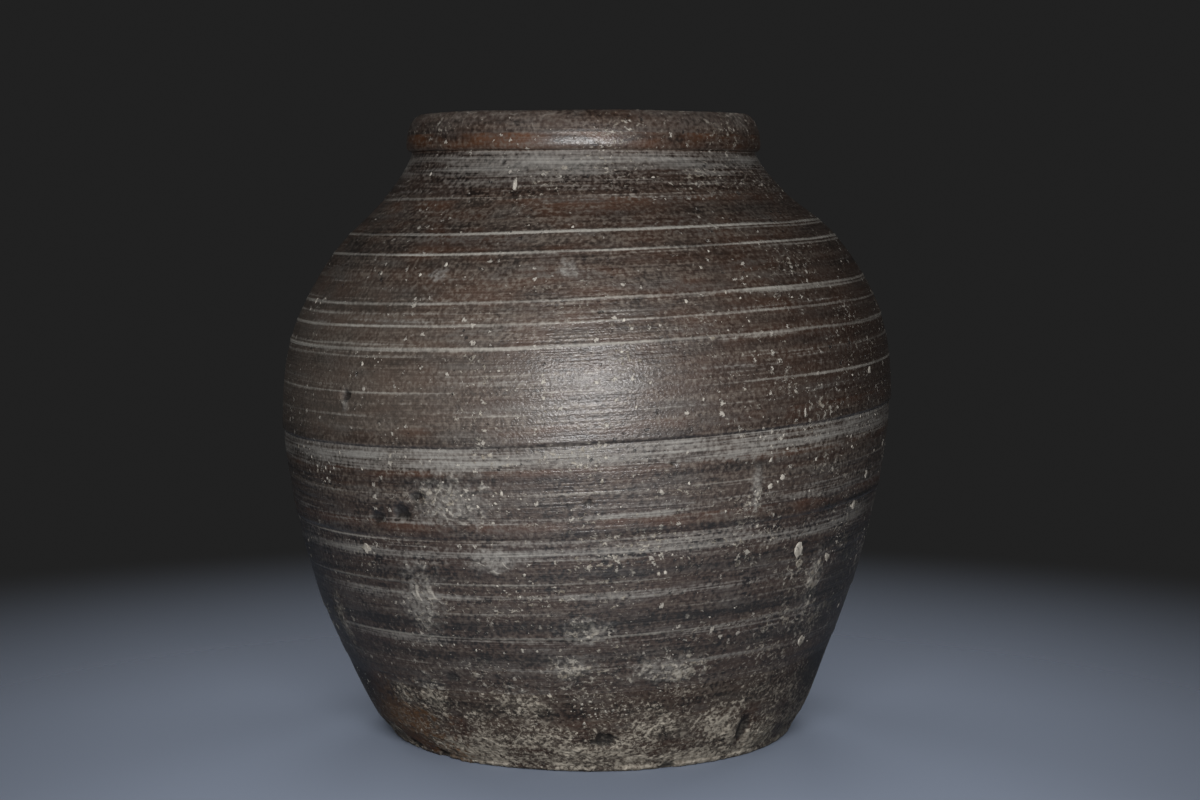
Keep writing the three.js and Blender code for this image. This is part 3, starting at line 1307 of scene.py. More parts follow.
@dataclass(frozen=True)
class StonewareFinish:
    """Unglazed iron-bearing stoneware, wiped on a slow wheel and reduction fired.

    The eye sees fine level scratches, a dull brown that turns rusty or smoky in patches, chalky
    slip in the turning lines, and grit and lime that burial left in the hollows. The finish is a
    fired clay under coats of colour, each laid on by its own share. Heights are millimetres.
    """

    name: str

    # Colours
    shade: str = "#2e2620"
    clay: str = "#473c35"
    low_shade: str = "#140e0b"
    low_clay: str = "#3a2c25"
    worn: str = "#7a7066"
    rust: str = "#5c3720"
    smoke: str = "#565452"
    slip: str = "#a5a199"
    bloom: str = "#8f8c87"
    crust: str = "#877e70"
    gap: str = "#241c16"
    stain: str = "#6c4a26"
    lime: str = "#b6b0a6"
    shade_and_dark: str = "#0f0c0a"
    left_pale: str = "#6d655d"
    deep: str = "#2b1b12"
    # Near-black laid on as painted shade in pits, pinholes, under the ledges and at the lower side
    # edges, and in the darker bands.

    # Most that a coat covers
    rust_share: float = 0.6
    smoke_share: float = 0.5
    dust_share: float = 0.9
    left_pale_share: float = 0.42
    deep_share: float = 0.62
    speck_share: float = 0.85
    crust_share: float = 0.65
    shade_and_dark_share: float = 0.8

    # Sheen: bare clay is smoother than chalk and crust, and has a thin skin of its own
    roughness: float = 0.52
    dull: float = 0.85
    coat: float = 0.33
    coat_roughness: float = 0.11
    gloss: float = 0.5
    ior: float = 1.62
    bump_mm: float = 0.26
    rubbed_most: float = 0.75

    # Patterns, in millimetres. Scratches and glints are drawn as coarse as they need to show.
    band: Pattern = Pattern(170, 3.2, 2)
    wipe: Pattern = Pattern(45, 1.3, 2)
    scratch: Pattern = Pattern(30, 0.6, 1)
    grain: Pattern = Pattern(1.3, 1.3, 3, 0.27, 0.73)
    blotch: Pattern = Pattern(9, 7, 4)
    rust_patch: Pattern = Pattern(16, 5, 3, 0.38, 0.64)
    smoke_patch: Pattern = Pattern(24, 4, 4, 0.48, 0.66)
    crowd: Pattern = Pattern(21, 15, 3)
    grit: Pattern = Pattern(3.6, 2.88, 3)
    glint: Pattern = Pattern(0.9, 0.7, 2)
    fleck: Pattern = Pattern(1.9, 1.4, 3)
    root_patch: Pattern = Pattern(9, 7, 2, 0.5, 0.58)
    root_mm: float = 11.0
    root_detail: float = 1.5
    root_twist: float = 0.8
    root_width: Span = (0.024, 0.008)
    specks: Dots = Dots(2.8, 0.42, 0.34)
    # Pinholes dent the bump and are darkened with painted shade.
    pinholes: Dots = Dots(3.6, 0.42, 0.22)

    # Shares of the patterns in the tone of the clay, and levels that the tone is cut to
    band_share: float = 0.13
    wipe_share: float = 0.11
    scratch_share: float = 0.11
    grain_share: float = 0.4
    blotch_share: float = 0.22
    clay_levels: Span = (0.28, 0.6)
    clay_full: float = 0.6
    worn_levels: Span = (0.35, 0.62)
    worn_low: float = 0.5

    # How deep the roughness bites into chalk, and levels that chalk is cut to
    teeth: tuple[float, float, float] = (0.35, 0.35, 0.3)
    bite: float = 1.55
    slip_bite: float = 0.65
    bloom_levels: Span = (0.3, 1.15)
    slip_levels: Span = (0.2, 0.8)
    dark_patches: Span = (1.6, 0.5)

    # Flecks: how thick they lie, and what adds to them
    fleck_roughness: float = 0.7
    fleck_twist: float = 0.4
    fleck_level: float = 0.6
    fleck_soft: float = 0.08
    fleck_lift: float = 0.03
    fleck_slope: float = -0.0005
    fleck_side: float = 0.0003
    fleck_crowd: float = 0.2
    fleck_spare: float = 0.11
    fleck_stained: float = 0.05
    cake: tuple[float, float, float] = (0.03, 0.07, 0.12)
    cake_least: float = 0.5
    sand_levels: Span = (0.55, 1.5)

    # Crust of the foot: least share of burnt gaps and dust, and how unevenly dust and rust lie
    gap_least: float = 0.3
    haze_least: float = 0.45
    dust_levels: Span = (0.2, 0.75)
    dust_least: float = 0.25
    soak: Span = (0.3, 0.9)

    # Heights between which something comes or goes
    rubbed: Span = (110.0, 25.0)
    low: Span = (106.0, 78.0)
    deepened: Span = (106.0, 124.0)
    left_pale_heights: Span = (178.0, 156.0)
    caked: Span = (45.0, 75.0)
    scorched: Span = (48.0, 30.0)
    sandy: Span = (4.0, 16.0)
    side_mm: float = 90.0

    # How far each pattern stands out in the bump
    scratch_bump: float = 0.3
    glint_bump: float = 0.32
    chip_bump: float = 0.5
    grit_bump: float = 0.8
    fleck_bump: float = 0.6
    hole_bump: float = -1.0

    def material(self) -> bpy.types.Material:
        """Build the material.

        Returns:
            The material, whose patterns follow the upright jar through its attributes.
        """
        made = open_material(self.name)
        tree = made.node_tree
        on = self.values(tree)
        colour = self.fired_clay(tree, on)
        coats = self.fire_coats(tree, on)
        coats += self.side_coats(tree, on)
        coats += self.chalk_coats(tree, on)
        coats += self.crust_coats(tree, on)
        coats += self.lime_coats(tree, on)
        coats += self.shade_and_dark_coats(tree, on)
        for share, tint in coats:
            colour = add_node(tree, MIX, {"Factor": share, "A": colour, "B": tint},
                              data_type="RGBA")
        self.sheen(tree, on, colour)
        return made

    def values(self, tree: bpy.types.NodeTree) -> Fields:
        """Read what the coats follow.

        Args:
            tree: Material's tree.

        Returns:
            The attributes of the clay, the place on the upright jar, and the main patterns.
        """
        on = {
            name: add_node(tree, "ShaderNodeAttribute", attribute_name=name).node.outputs["Fac"]
            for name in ("slip", "bloom", "crust", "shade_and_dark", "rusted")
        }
        turned = add_node(tree, "ShaderNodeAttribute", attribute_name="turned").node.outputs
        place = add_node(tree, VECTOR, {0: turned["Vector"], "Scale": 1 / MM}, operation="SCALE")
        parts = add_node(tree, SPLIT, {"Vector": place}).node.outputs
        on |= {"place": place, "across": parts["X"], "height": parts["Z"]}
        for name, look in (
            ("band", self.band), ("wipe", self.wipe), ("scratch", self.scratch),
            ("grain", self.grain), ("blotch", self.blotch), ("crowd", self.crowd),
            ("grit", self.grit), ("glint", self.glint),
        ):
            on[name] = look.cut(tree, place)
        for name, (start, end) in (
            ("low", self.low), ("deepened", self.deepened), ("left_pale_heights", self.left_pale_heights),
            ("scorched", self.scorched),
        ):
            on[name] = add_node(tree, RANGE, {"Value": on["height"], "From Min": start,
                                              "From Max": end})
        return on

    def fired_clay(self, tree: bpy.types.NodeTree, on: Fields) -> Socket:
        """Mix the clay: banded, wiped, scratched and grainy between its dark and light brown.

        Args:
            tree: Material's tree.
            on: Values of the surface, which gain the tone and the level of the clay.

        Returns:
            The colour of the bare clay.
        """
        tone: Socket | float = 0.0
        for name, share in (("band", self.band_share), ("wipe", self.wipe_share),
                            ("scratch", self.scratch_share), ("grain", self.grain_share)):
            tone = add_node(tree, MATH, {0: on[name], 1: share, 2: tone},
                            operation="MULTIPLY_ADD")
        level = add_node(tree, MATH, {0: on["blotch"], 1: self.blotch_share, 2: tone},
                         operation="MULTIPLY_ADD")
        dark, light = self.clay_levels
        level = add_node(tree, RANGE, {"Value": level, "From Min": dark, "From Max": light})
        on |= {"tone": tone, "level": level}
        full = add_node(tree, RANGE, {"Value": level, "From Max": self.clay_full},
                        interpolation_type="SMOOTHSTEP")
        shade, clay = (
            add_node(tree, MIX, {"Factor": on["low"], "A": linear(upper), "B": linear(lower)},
                     data_type="RGBA")
            for upper, lower in ((self.shade, self.low_shade), (self.clay, self.low_clay))
        )
        return add_node(tree, MIX, {"Factor": full, "A": shade, "B": clay}, data_type="RGBA")

    def fire_coats(self, tree: bpy.types.NodeTree, on: Fields) -> list[Coat]:
        """Lay on rust where iron came out, then worn clay, then smoke from a choked fire.

        Args:
            tree: Material's tree.
            on: Values of the surface.

        Returns:
            The three coats.
        """
        rust = self.rust_patch.cut(tree, on["place"])
        for scale in (on["rusted"], self.rust_share):
            rust = add_node(tree, MATH, {0: rust, 1: scale}, operation="MULTIPLY")
        rust = add_node(tree, MATH, {0: rust, 1: 1.0}, operation="MINIMUM")
        bare, rubbed = self.worn_levels
        worn = add_node(tree, RANGE, {"Value": on["tone"], "From Min": bare, "From Max": rubbed})
        spared = add_node(tree, RANGE, {"Value": on["low"], "To Min": 1.0,
                                        "To Max": self.worn_low})
        worn = add_node(tree, MATH, {0: worn, 1: spared}, operation="MULTIPLY")
        smoke = self.smoke_patch.cut(tree, on["place"])
        for scale in (self.smoke_share, on["level"]):
            smoke = add_node(tree, MATH, {0: smoke, 1: scale}, operation="MULTIPLY")
        return [(rust, linear(self.rust)), (worn, linear(self.worn)), (smoke, linear(self.smoke))]

    def side_coats(self, tree: bpy.types.NodeTree, on: Fields) -> list[Coat]:
        """Make the upper wall lighter to the left and darker to the right.

        Args:
            tree: Material's tree.
            on: Values of the surface.

        Returns:
            The two coats.
        """
        left_pale_heights = add_node(tree, MATH, {0: on["left_pale_heights"], 1: on["deepened"]}, operation="MULTIPLY")
        coats = []
        for edge, most, tint, where in (
            (-self.side_mm, self.left_pale_share, self.left_pale, left_pale_heights),
            (self.side_mm, self.deep_share, self.deep, on["deepened"]),
        ):
            side = add_node(tree, RANGE, {"Value": on["across"], "From Max": edge, "To Max": most})
            side = add_node(tree, MATH, {0: side, 1: where}, operation="MULTIPLY")
            coats.append((side, linear(tint)))
        return coats

    def chalk_coats(self, tree: bpy.types.NodeTree, on: Fields) -> list[Coat]:
        """Lay on chalk, which clings where the surface is rough, so roughness cuts its edges.

        Args:
            tree: Material's tree.
            on: Values of the surface, which gain the chalk and the dark bands.

        Returns:
            The chalky bands and the slip lines.
        """
        teeth: Socket | float = -0.5
        for name, share in zip(("grain", "wipe", "scratch"), self.teeth):
            teeth = add_node(tree, MATH, {0: on[name], 1: share, 2: teeth},
                             operation="MULTIPLY_ADD")
        coats = []
        for name, bite, (least, most), tint in (
            ("bloom", self.bite, self.bloom_levels, self.bloom),
            ("slip", self.slip_bite, self.slip_levels, self.slip),
        ):
            chalk = add_node(tree, MATH, {0: teeth, 1: bite, 2: on[name]},
                             operation="MULTIPLY_ADD")
            chalk = add_node(tree, RANGE, {"Value": chalk, "From Min": least, "From Max": most})
            on[f"{name}_chalk"] = chalk
            coats.append((chalk, linear(tint)))
        # Where slip or bloom is negative the wall darkens: painted shade under the ledges, and the
        # darker bands.
        dark = add_node(tree, MATH, {0: on["slip"], 1: on["bloom"]}, operation="MINIMUM")
        dark = add_node(tree, MATH, {0: dark, 1: -1.0}, operation="MULTIPLY", use_clamp=True)
        most, least = self.dark_patches
        patchy = add_node(tree, RANGE, {"Value": on["level"], "To Min": most, "To Max": least})
        on["dark"] = add_node(tree, MATH, {0: dark, 1: patchy}, operation="MULTIPLY",
                              use_clamp=True)
        return coats

    def crust_coats(self, tree: bpy.types.NodeTree, on: Fields) -> list[Coat]:
        """Lay on the crust of the foot: burnt gaps, dust between them and rust that soaked in.

        Args:
            tree: Material's tree.
            on: Values of the surface, which gain the caked share and the stain.

        Returns:
            The three coats.
        """
        caked = add_node(tree, MATH, {0: on["crust"], 1: self.crust_share}, operation="MULTIPLY",
                         use_clamp=True)
        start, end = self.sandy
        sandy = add_node(tree, RANGE, {"Value": on["height"], "From Min": start, "From Max": end,
                                       "To Min": self.gap_least})
        gap = on["scorched"]
        for scale in (caked, sandy):
            gap = add_node(tree, MATH, {0: gap, 1: scale}, operation="MULTIPLY")
        haze = add_node(tree, RANGE, {"Value": gap, "To Min": 1.0, "To Max": self.haze_least})
        least, most = self.dust_levels
        dusty = add_node(tree, RANGE, {"Value": on["grain"], "From Min": least, "From Max": most,
                                       "To Min": self.dust_least})
        for scale in (caked, dusty):
            haze = add_node(tree, MATH, {0: haze, 1: scale}, operation="MULTIPLY")
        stain = add_node(tree, MATH, {0: on["rusted"], 1: 1.0}, operation="SUBTRACT",
                         use_clamp=True)
        least, most = self.soak
        soaked = add_node(tree, RANGE, {"Value": on["grit"], "To Min": least, "To Max": most})
        stain = add_node(tree, MATH, {0: stain, 1: soaked}, operation="MULTIPLY")
        on |= {"caked": caked, "stain": stain}
        return [(gap, linear(self.gap)), (haze, linear(self.bloom)), (stain, linear(self.stain))]

    def lime_coats(self, tree: bpy.types.NodeTree, on: Fields) -> list[Coat]:
        """Lay on grit and lime: ragged flecks in crowds, specks, and the casts of fine roots.

        Args:
            tree: Material's tree.
            on: Values of the surface, which gain the flecks, the chips and the lime.

        Returns:
            The flecks and the lime.
        """
        bias: Socket | float = self.fleck_lift - self.fleck_spare
        for name, share in (("crowd", self.fleck_crowd), ("across", self.fleck_side),
                            ("height", self.fleck_slope)):
            bias = add_node(tree, MATH, {0: on[name], 1: share, 2: bias},
                            operation="MULTIPLY_ADD")
        cake, *gains = self.cake
        for name, share in zip(("grit", "grain"), gains):
            cake = add_node(tree, MATH, {0: on[name], 1: share, 2: cake},
                            operation="MULTIPLY_ADD")
        start, end = self.caked
        fewer = add_node(tree, RANGE, {"Value": on["height"], "From Min": start, "From Max": end,
                                       "To Min": 1.0, "To Max": self.cake_least})
        cake = add_node(tree, MATH, {0: cake, 1: fewer}, operation="MULTIPLY")
        bias = add_node(tree, MATH, {0: on["crust"], 1: cake, 2: bias}, operation="MULTIPLY_ADD")
        noise = self.fleck.noise(tree, on["place"], Roughness=self.fleck_roughness,
                                 Distortion=self.fleck_twist)
        flecks = add_node(tree, MATH, {0: noise, 1: bias}, operation="ADD")
        flecks = add_node(tree, RANGE, {"Value": flecks, "From Min": self.fleck_level,
                                        "From Max": self.fleck_level + self.fleck_soft,
                                        "To Max": self.dust_share})
        thinned = add_node(tree, RANGE, {"Value": on["stain"], "To Min": 1.0,
                                         "To Max": self.fleck_stained})
        flecks = add_node(tree, MATH, {0: flecks, 1: thinned}, operation="MULTIPLY")
        sifted = add_node(tree, MATH, {0: on["grit"], 1: on["grain"]}, operation="ADD")
        coarse, fine = self.sand_levels
        sifted = add_node(tree, RANGE, {"Value": sifted, "From Min": coarse, "From Max": fine})
        sand = add_node(tree, MIX, {"Factor": sifted, "A": linear(self.crust),
                                    "B": linear(self.lime)}, data_type="RGBA")
        winding = add_node(tree, NOISE, {"Vector": on["place"], "Scale": 1 / self.root_mm,
                                         "Detail": self.root_detail,
                                         "Distortion": self.root_twist})
        winding = add_node(tree, MATH, {0: winding, 1: 0.5}, operation="SUBTRACT")
        winding = add_node(tree, MATH, {0: winding}, operation="ABSOLUTE")
        edge, core = self.root_width
        roots = add_node(tree, RANGE, {"Value": winding, "From Min": edge, "From Max": core})
        for scale in (self.root_patch.cut(tree, on["place"]), on["crust"]):
            roots = add_node(tree, MATH, {0: roots, 1: scale}, operation="MULTIPLY")
        chips = add_node(tree, MATH, {0: self.specks.mask(tree, on["place"]), 1: roots},
                         operation="MAXIMUM")
        lime = add_node(tree, MATH, {0: chips, 1: self.speck_share}, operation="MULTIPLY")
        on |= {"flecks": flecks, "chips": chips, "lime": lime}
        return [(flecks, sand), (lime, linear(self.lime))]

    def shade_and_dark_coats(self, tree: bpy.types.NodeTree, on: Fields) -> list[Coat]:
        """Lay on a near-black coat: painted shade in pinholes, pits, under the ledges and at the
        lower side edges, and the darker bands.

        Args:
            tree: Material's tree.
            on: Values of the surface, which gain the pinholes.

        Returns:
            The one coat.
        """
        on["holes"] = self.pinholes.mask(tree, on["place"])
        darkened = on["shade_and_dark"]
        for name in ("dark", "holes"):
            darkened = add_node(tree, MATH, {0: darkened, 1: on[name]}, operation="MAXIMUM")
        darkened = add_node(tree, MATH, {0: darkened, 1: self.shade_and_dark_share}, operation="MULTIPLY")
        return [(darkened, linear(self.shade_and_dark))]

    def sheen(self, tree: bpy.types.NodeTree, on: Fields, colour: Socket) -> None:
        """Finish the surface: chalk and crust are dull, and bare scratched clay has a low sheen.

        Args:
            tree: Material's tree.
            on: Values of the surface.
            colour: Colour of the surface.
        """
        start, end = self.rubbed
        dull = add_node(tree, RANGE, {"Value": on["height"], "From Min": start, "From Max": end,
                                      "To Max": self.rubbed_most})
        for name in ("bloom_chalk", "slip_chalk", "caked", "lime", "flecks"):
            dull = add_node(tree, MATH, {0: dull, 1: on[name]}, operation="MAXIMUM")
        rough = add_node(tree, RANGE, {"Value": dull, "To Min": self.roughness,
                                       "To Max": self.dull})
        skin = add_node(tree, RANGE, {"Value": dull, "To Min": self.coat, "To Max": 0.0})
        gritty = add_node(tree, MATH, {0: on["caked"], 1: on["grit"]}, operation="MULTIPLY")
        height: Socket | float = 0.0
        for part, rise in (
            (on["scratch"], self.scratch_bump), (on["glint"], self.glint_bump),
            (on["chips"], self.chip_bump), (gritty, self.grit_bump),
            (on["flecks"], self.fleck_bump), (on["holes"], self.hole_bump),
        ):
            height = add_node(tree, MATH, {0: part, 1: rise, 2: height}, operation="MULTIPLY_ADD")
        bump = add_node(tree, "ShaderNodeBump", {"Height": height, "Strength": 1.0,
                                                 "Distance": self.bump_mm * MM})
        shader = add_node(tree, "ShaderNodeBsdfPrincipled",
                          {"Base Color": colour, "Roughness": rough, "IOR": self.ior,
                           "Specular IOR Level": self.gloss, "Coat Weight": skin,
                           "Coat Roughness": self.coat_roughness,
                           "Normal": bump, "Coat Normal": bump})
        add_node(tree, "ShaderNodeOutputMaterial", {"Surface": shader})


@dataclass
class Jar:
    """The jar itself: its slab, courses, neck and lip, turned one by one."""

    shape: JarShape
    turner: Turner
    foot: StonewareFinish = StonewareFinish(
        "foot_stoneware", bloom="#82796e", crust="#867d71", gap="#1b140f", lime="#c6bdae",
        dust_share=0.84, roughness=0.6, gloss=0.3, grit=Pattern(2.4, 1.92, 3),
        fleck=Pattern(1.4, 1.1, 3), fleck_soft=0.12, fleck_lift=0.112, fleck_slope=-0.0032)
    wall: StonewareFinish = StonewareFinish("wall_stoneware")
    lip: StonewareFinish = StonewareFinish(
        "lip_stoneware", shade="#1e1612", clay="#392c25", worn="#6a5d53", rust="#694022",
        rust_share=0.7, smoke_share=0.3, roughness=0.45, bump_mm=0.14, bite=1.1, fleck_lift=0.09)

    def build(self) -> list[bpy.types.Object]:
        """Turn every piece, dress it and tie it to its CAD node.

        Returns:
            The pieces from the slab up.
        """
        clays = {Slot.FOOT: self.foot.material(), Slot.WALL: self.wall.material(),
                 Slot.LIP: self.lip.material()}
        plan = [("base_disc", Slot.FOOT, self.shape.base_section())]
        for index, course in enumerate(self.shape.courses):
            plan.append((course.node, course.slot, self.shape.course_section(index + 1)))
        plan.append(("rolled_lip", Slot.LIP, self.shape.lip_section()))
        pieces = []
        for node, slot, rows in plan:
            piece = self.turner.turn(node, rows, clays[slot])
            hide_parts(node)
            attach(piece, BODY)
            log.info("%s: %d rows, %d faces", piece.name, len(rows), len(piece.data.polygons))
            pieces.append(piece)
        return pieces


@dataclass(frozen=True)
class LimeFinish:
    """Lime and grit from the ground, stuck to the clay: chalky, pale and uneven in tone."""

    name: str = "lime_grit"
    pale: str = "#bdb7ad"
    dirty: str = "#6c6458"
    tone_mm: float = 3.0
    dirt_levels: Span = (0.46, 0.74)
    roughness: float = 0.9

    def material(self) -> bpy.types.Material:
        """Build the material, with dirt in soft spots.

        Returns:
            The material.
        """
        made = open_material(self.name)
        tree = made.node_tree
        place = add_node(tree, "ShaderNodeTexCoord").node.outputs["Object"]
        spots = add_node(tree, NOISE, {"Vector": place, "Scale": 1 / (self.tone_mm * MM),
                                       "Detail": 2.0})
        clean, soiled = self.dirt_levels
        dirt = add_node(tree, RANGE, {"Value": spots, "From Min": clean, "From Max": soiled})
        colour = add_node(tree, MIX, {"Factor": dirt, "A": linear(self.pale),
                                      "B": linear(self.dirty)}, data_type="RGBA")
        shader = add_node(tree, "ShaderNodeBsdfPrincipled",
                          {"Base Color": colour, "Roughness": self.roughness})
        add_node(tree, "ShaderNodeOutputMaterial", {"Surface": shader})
        return made


@dataclass
class LimeGrit:
    """Chips and grains of lime on the wall: single flakes, loose grains and small clusters."""

    shape: JarShape
    finish: LimeFinish = LimeFinish()
    flakes: tuple[Flake, ...] = (
        Flake(43.0, 75.0, 3.9, 6.6),
        Flake(44.0, 70.5, 3.3, 3.9),
        Flake(50.5, 64.0, 3.6, 5.4),
        Flake(53.0, 71.0, 3.3, 3.6),
        Flake(60.5, 87.0, 3.6, 3.3),
        Flake(52.5, 41.0, 3.9, 5.1),
        Flake(37.0, 35.0, 3.6, 3.3),
        Flake(64.0, 97.0, 2.7, 3.0),
        Flake(33.5, 98.5, 2.1, 2.0),
        Flake(36.0, 101.0, 2.1, 2.0),
        Flake(-42.0, 59.0, 3.6, 2.7),
        Flake(-45.0, 76.0, 5.1, 3.6),
        Flake(-21.0, 195.5, 1.5, 6.0),
        Flake(62.0, 133.0, 2.4, 2.4),
        Flake(38.0, 118.0, 0.9, 5.0),
        Flake(40.5, 122.0, 0.8, 3.4),
        Flake(118.0, 66.0, 3.6, 4.5),
        Flake(-141.0, 93.0, 3.9, 3.0),
        Flake(165.0, 47.0, 3.3, 4.8),
        Flake(-98.0, 121.0, 3.0, 2.7),
    )
    seed: int = 11
    loose: int = 800
    clusters: int = 90
    cluster_count: tuple[int, int] = (5, 26)
    cluster_heights: Place = (8.0, 212.0, 60.0)
    cluster_spread: float = 5.0
    cluster_rise: float = 3.0
    loose_heights: Place = (4.0, 218.0, 60.0)
    grain_width: Span = (0.4, 1.8)
    grain_power: float = 4.0
    grain_tall: Span = (0.5, 1.3)
    thickness: float = 0.2
    sink: float = 0.15
    flake_fineness: int = 3
    grain_fineness: int = 1
    flake_unevenness: float = 0.9
    grain_unevenness: float = 1.5
    dent_scale: float = 2.4
    dent_change: float = 3.7
    variants: int = 4
    shot_from: float = 170.0

    def grains(self, chance: random.Random) -> list[Flake]:
        """Scatter the grains.

        Args:
            chance: Seeded random numbers.

        Returns:
            The grains of the clusters, then the loose ones.
        """
        spots = []
        for _ in range(self.clusters):
            bearing = chance.uniform(-180, 180)
            height = chance.triangular(*self.cluster_heights)
            radius = self.shape.outline.radius_at(min(height, self.shape.neck_top))
            for _ in range(chance.randint(*self.cluster_count)):
                along = chance.gauss(0, self.cluster_spread)
                spots.append((bearing + math.degrees(along / radius),
                              height + chance.gauss(0, self.cluster_rise)))
        for _ in range(self.loose):
            spots.append((chance.uniform(-180, 180), chance.triangular(*self.loose_heights)))
        low, high = self.grain_width
        made = []
        for bearing, height in spots:
            width = low + (high - low) * chance.random() ** self.grain_power
            made.append(Flake(bearing, height, width, width * chance.uniform(*self.grain_tall)))
        return made

    def build_tree(self) -> bpy.types.NodeTree:
        """Build the tree that sets a rough chip on each point.

        Returns:
            The Geometry Nodes tree, with its sizes as named inputs.
        """
        kinds = {"Points": "Geometry", "Fineness": "Int", "Roughness": "Float", "Seed": "Int",
                 "Lime": "Material"}
        tree, given = open_tree("lime_chips", kinds, "Chips")
        chips = add_node(tree, "GeometryNodeJoinGeometry").node
        position = add_node(tree, "GeometryNodeInputPosition")
        for variant in range(self.variants):
            ball = add_node(tree, "GeometryNodeMeshIcoSphere",
                            {"Radius": 0.5, "Subdivisions": given["Fineness"]})
            dents = add_node(tree, NOISE, {"Vector": position, "W": self.dent_change * variant,
                                           "Scale": self.dent_scale}, noise_dimensions="4D")
            dent = add_node(tree, VECTOR, {0: dents.node.outputs["Color"], 1: (0.5, 0.5, 0.5)},
                            operation="SUBTRACT")
            shove = add_node(tree, VECTOR, {0: dent, "Scale": given["Roughness"]},
                             operation="SCALE")
            rough = add_node(tree, "GeometryNodeSetPosition", {"Geometry": ball, "Offset": shove})
            chip = add_node(tree, "GeometryNodeGeometryToInstance", {0: rough})
            tree.links.new(chip, chips.inputs[0])
        facing = add_node(tree, NAMED, {"Name": "facing"}, data_type="FLOAT_VECTOR")
        stretch = add_node(tree, NAMED, {"Name": "stretch"}, data_type="FLOAT_VECTOR")
        upright = add_node(tree, "FunctionNodeAlignRotationToVector", {"Vector": (0, 0, 1)},
                           axis="Y")
        outwards = add_node(tree, "FunctionNodeAlignRotationToVector",
                            {"Rotation": upright, "Vector": facing}, axis="Z")
        pick = add_node(tree, "FunctionNodeRandomValue",
                        {"Min": 0, "Max": self.variants - 1, "Seed": given["Seed"]},
                        data_type="INT")
        placed = add_node(tree, "GeometryNodeInstanceOnPoints",
                          {"Points": given["Points"], "Instance": chips.outputs[0],
                           "Pick Instance": True, "Instance Index": pick,
                           "Rotation": outwards, "Scale": stretch})
        whole = add_node(tree, "GeometryNodeRealizeInstances", {"Geometry": placed})
        smooth = add_node(tree, "GeometryNodeSetShadeSmooth", {"Geometry": whole})
        dressed = add_node(tree, "GeometryNodeSetMaterial",
                           {"Geometry": smooth, "Material": given["Lime"]})
        add_node(tree, "NodeGroupOutput", {0: dressed})
        return tree

    def build(self, pieces: list[bpy.types.Object]) -> None:
        """Scatter the flakes and the grains over the finished clay.

        Args:
            pieces: Pieces of the jar, from the slab up.
        """
        tree = self.build_tree()
        lime = self.finish.material()
        grains = self.grains(random.Random(self.seed))
        for name, chips, fineness, uneven in (
            ("lime_flakes", self.flakes, self.flake_fineness, self.flake_unevenness),
            ("lime_grains", grains, self.grain_fineness, self.grain_unevenness),
        ):
            piece = self.scatter(name, chips, pieces)
            values = {"Fineness": fineness, "Roughness": uneven, "Seed": self.seed, "Lime": lime}
            apply_tree(piece, tree, values)
            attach(piece, BODY)
            log.info("%s: %d chips, %d faces", name, len(chips), len(piece.data.polygons))

    def scatter(self, name: str, chips: Iterable[Flake],
                pieces: list[bpy.types.Object]) -> bpy.types.Object:
        """Find the clay under each chip.

        Args:
            name: Name of the object.
            chips: The chips.
            pieces: Pieces of the jar, from the slab up.

        Returns:
            An object with one point for each chip, and how the chip faces and stretches.
        """
        places, facings, stretches = [], [], []
        for chip in chips:
            angle = math.radians(chip.bearing)
            outwards = Vector((math.sin(angle), -math.cos(angle), 0))
            start = outwards * self.shot_from * MM + Vector((0, 0, chip.height * MM))
            for piece in pieces:
                hit, place, facing, _ = piece.ray_cast(start, -outwards)
                if hit:
                    thick = self.thickness * min(chip.width, chip.tall)
                    places.append(place - facing * self.sink * thick * MM)
                    facings.append(facing)
                    stretches.append((chip.width * MM, chip.tall * MM, thick * MM))
                    break
        mesh = bpy.data.meshes.new(name)
        mesh.from_pydata(places, [], [])
        for key, values in (("facing", facings), ("stretch", stretches)):
            keep_vectors(mesh, key, values)
        scattered = bpy.data.objects.new(name, mesh)
        bpy.context.collection.objects.link(scattered)
        return scattered


@dataclass(frozen=True)
class Softbox:
    """A lamp with a soft face: its centre, width and height, power in watts and spread."""

    name: str
    place: Place
    size: Span
    power: float
    spread: float = 180.0
    glossy: bool = False


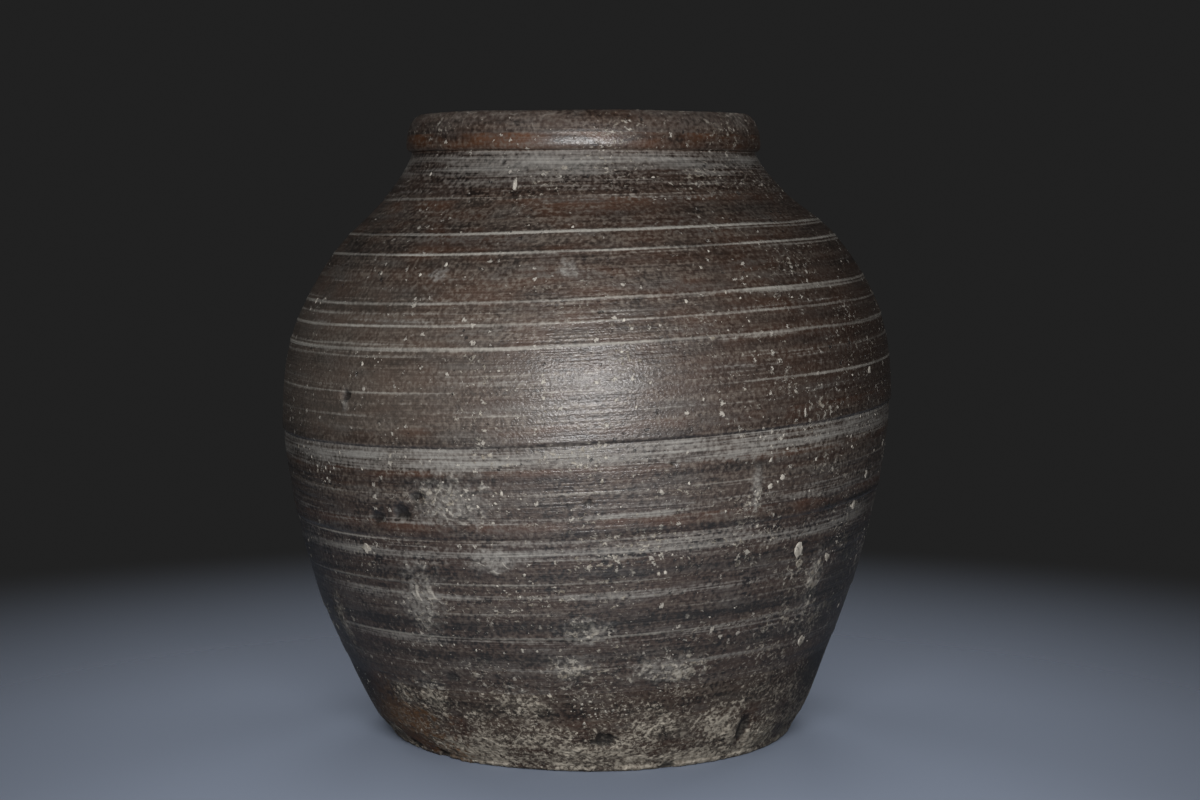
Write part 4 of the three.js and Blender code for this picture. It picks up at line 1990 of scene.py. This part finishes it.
@dataclass
class Studio:
    """Pale floor, soft light and the camera."""

    camera_place: Place = (3.44, -791.4, 194.7)
    camera_down: float = 5.55
    lens: float = 66.0
    sensor: float = 36.0
    floor_colour: str = "#929cae"
    floor_bounce: str = "#2c2d30"
    floor_radius: float = 1700.0
    floor_sides: int = 96
    floor_middle: Place = (0.0, -110.0, 0.0)
    floor_fade: Span = (40.0, 520.0)
    world_level: float = 0.015
    softboxes: tuple[Softbox, ...] = (
        Softbox("key_softbox", (4.0, -465.0, 196.0), (250.0, 110.0), 1.8, glossy=True),
        Softbox("left_softbox", (-560.0, 640.0, 480.0), (400.0, 400.0), 2.0),
        Softbox("right_softbox", (560.0, 640.0, 480.0), (400.0, 400.0), 2.0),
        Softbox("back_softbox", (0.0, 700.0, 170.0), (300.0, 300.0), 3.5),
        Softbox("top_softbox", (0.0, 60.0, 950.0), (400.0, 400.0), 0.4),
        Softbox("mouth_softbox", (0.0, 0.0, 950.0), (50.0, 50.0), 0.05, spread=7.0),
    )
    aim: Place = (0.0, 0.0, 110.0)

    def build(self) -> None:
        """Make the camera, the lamps, the world and the floor."""
        scene = bpy.context.scene
        scene.view_settings.view_transform = "Standard"
        camera = bpy.data.objects.new("camera", bpy.data.cameras.new("camera"))
        camera.data.lens = self.lens
        camera.data.sensor_width = self.sensor
        camera.location = Vector(self.camera_place) * MM
        camera.rotation_euler = Euler((math.radians(90 - self.camera_down), 0, 0))
        scene.collection.objects.link(camera)
        scene.camera = camera
        for softbox in self.softboxes:
            self.light(softbox)
        world = bpy.data.worlds.new("studio")
        scene.world = world
        world.use_nodes = True
        world.node_tree.nodes["Background"].inputs["Color"].default_value = (
            *[self.world_level] * 3, 1.0)
        self.floor()

    def light(self, softbox: Softbox) -> None:
        """Hang a softbox that looks at the jar.

        Args:
            softbox: The lamp.
        """
        light = bpy.data.lights.new(softbox.name, "AREA")
        light.shape = "RECTANGLE"
        light.size, light.size_y = (side * MM for side in softbox.size)
        light.energy = softbox.power
        light.spread = math.radians(softbox.spread)
        lamp = bpy.data.objects.new(softbox.name, light)
        lamp.location = Vector(softbox.place) * MM
        look = Vector(self.aim) * MM - lamp.location
        lamp.rotation_euler = look.to_track_quat("-Z", "Y").to_euler()
        lamp.visible_camera = False
        lamp.visible_glossy = softbox.glossy
        bpy.context.scene.collection.objects.link(lamp)

    def floor(self) -> None:
        """Add the floor: a matt pale disc that fades out into the backdrop."""
        material = open_material("matt_pale_floor")
        tree = material.node_tree
        place = add_node(tree, "ShaderNodeTexCoord").node.outputs["Object"]
        away = add_node(tree, VECTOR, {0: place, 1: Vector(self.floor_middle) * MM},
                        operation="DISTANCE").node.outputs["Value"]
        full, gone = self.floor_fade
        fade = add_node(tree, RANGE, {"Value": away, "From Min": full * MM, "From Max": gone * MM},
                        interpolation_type="SMOOTHSTEP")
        ray = add_node(tree, "ShaderNodeLightPath").node.outputs
        seen = ray["Is Camera Ray"]
        for other in ("Is Glossy Ray", "Is Transmission Ray"):
            seen = add_node(tree, MATH, {0: seen, 1: ray[other]}, operation="MAXIMUM")
        pale = add_node(tree, MIX, {"Factor": seen, "A": linear(self.floor_bounce),
                                    "B": linear(self.floor_colour)}, data_type="RGBA")
        matt = add_node(tree, "ShaderNodeBsdfDiffuse", {"Color": pale})
        clear = add_node(tree, "ShaderNodeBsdfTransparent")
        mixed = add_node(tree, "ShaderNodeMixShader", {0: fade, 1: matt, 2: clear})
        add_node(tree, "ShaderNodeOutputMaterial", {"Surface": mixed})
        angles = [2 * math.pi * i / self.floor_sides for i in range(self.floor_sides)]
        rim = [Vector((math.cos(a), math.sin(a), 0)) * self.floor_radius * MM for a in angles]
        mesh = bpy.data.meshes.new("floor")
        mesh.from_pydata(rim, [], [list(range(self.floor_sides))])
        mesh.materials.append(material)
        floor = bpy.data.objects.new("floor", mesh)
        bpy.context.scene.collection.objects.link(floor)


def main() -> None:
    """Build the studio and the jar."""
    logging.basicConfig(level=logging.INFO, format="%(name)s: %(message)s")
    Studio().build()
    shape = JarShape()
    pieces = Jar(shape, Turner(shape)).build()
    LimeGrit(shape).build(pieces)


if __name__ == "__main__":
    main()
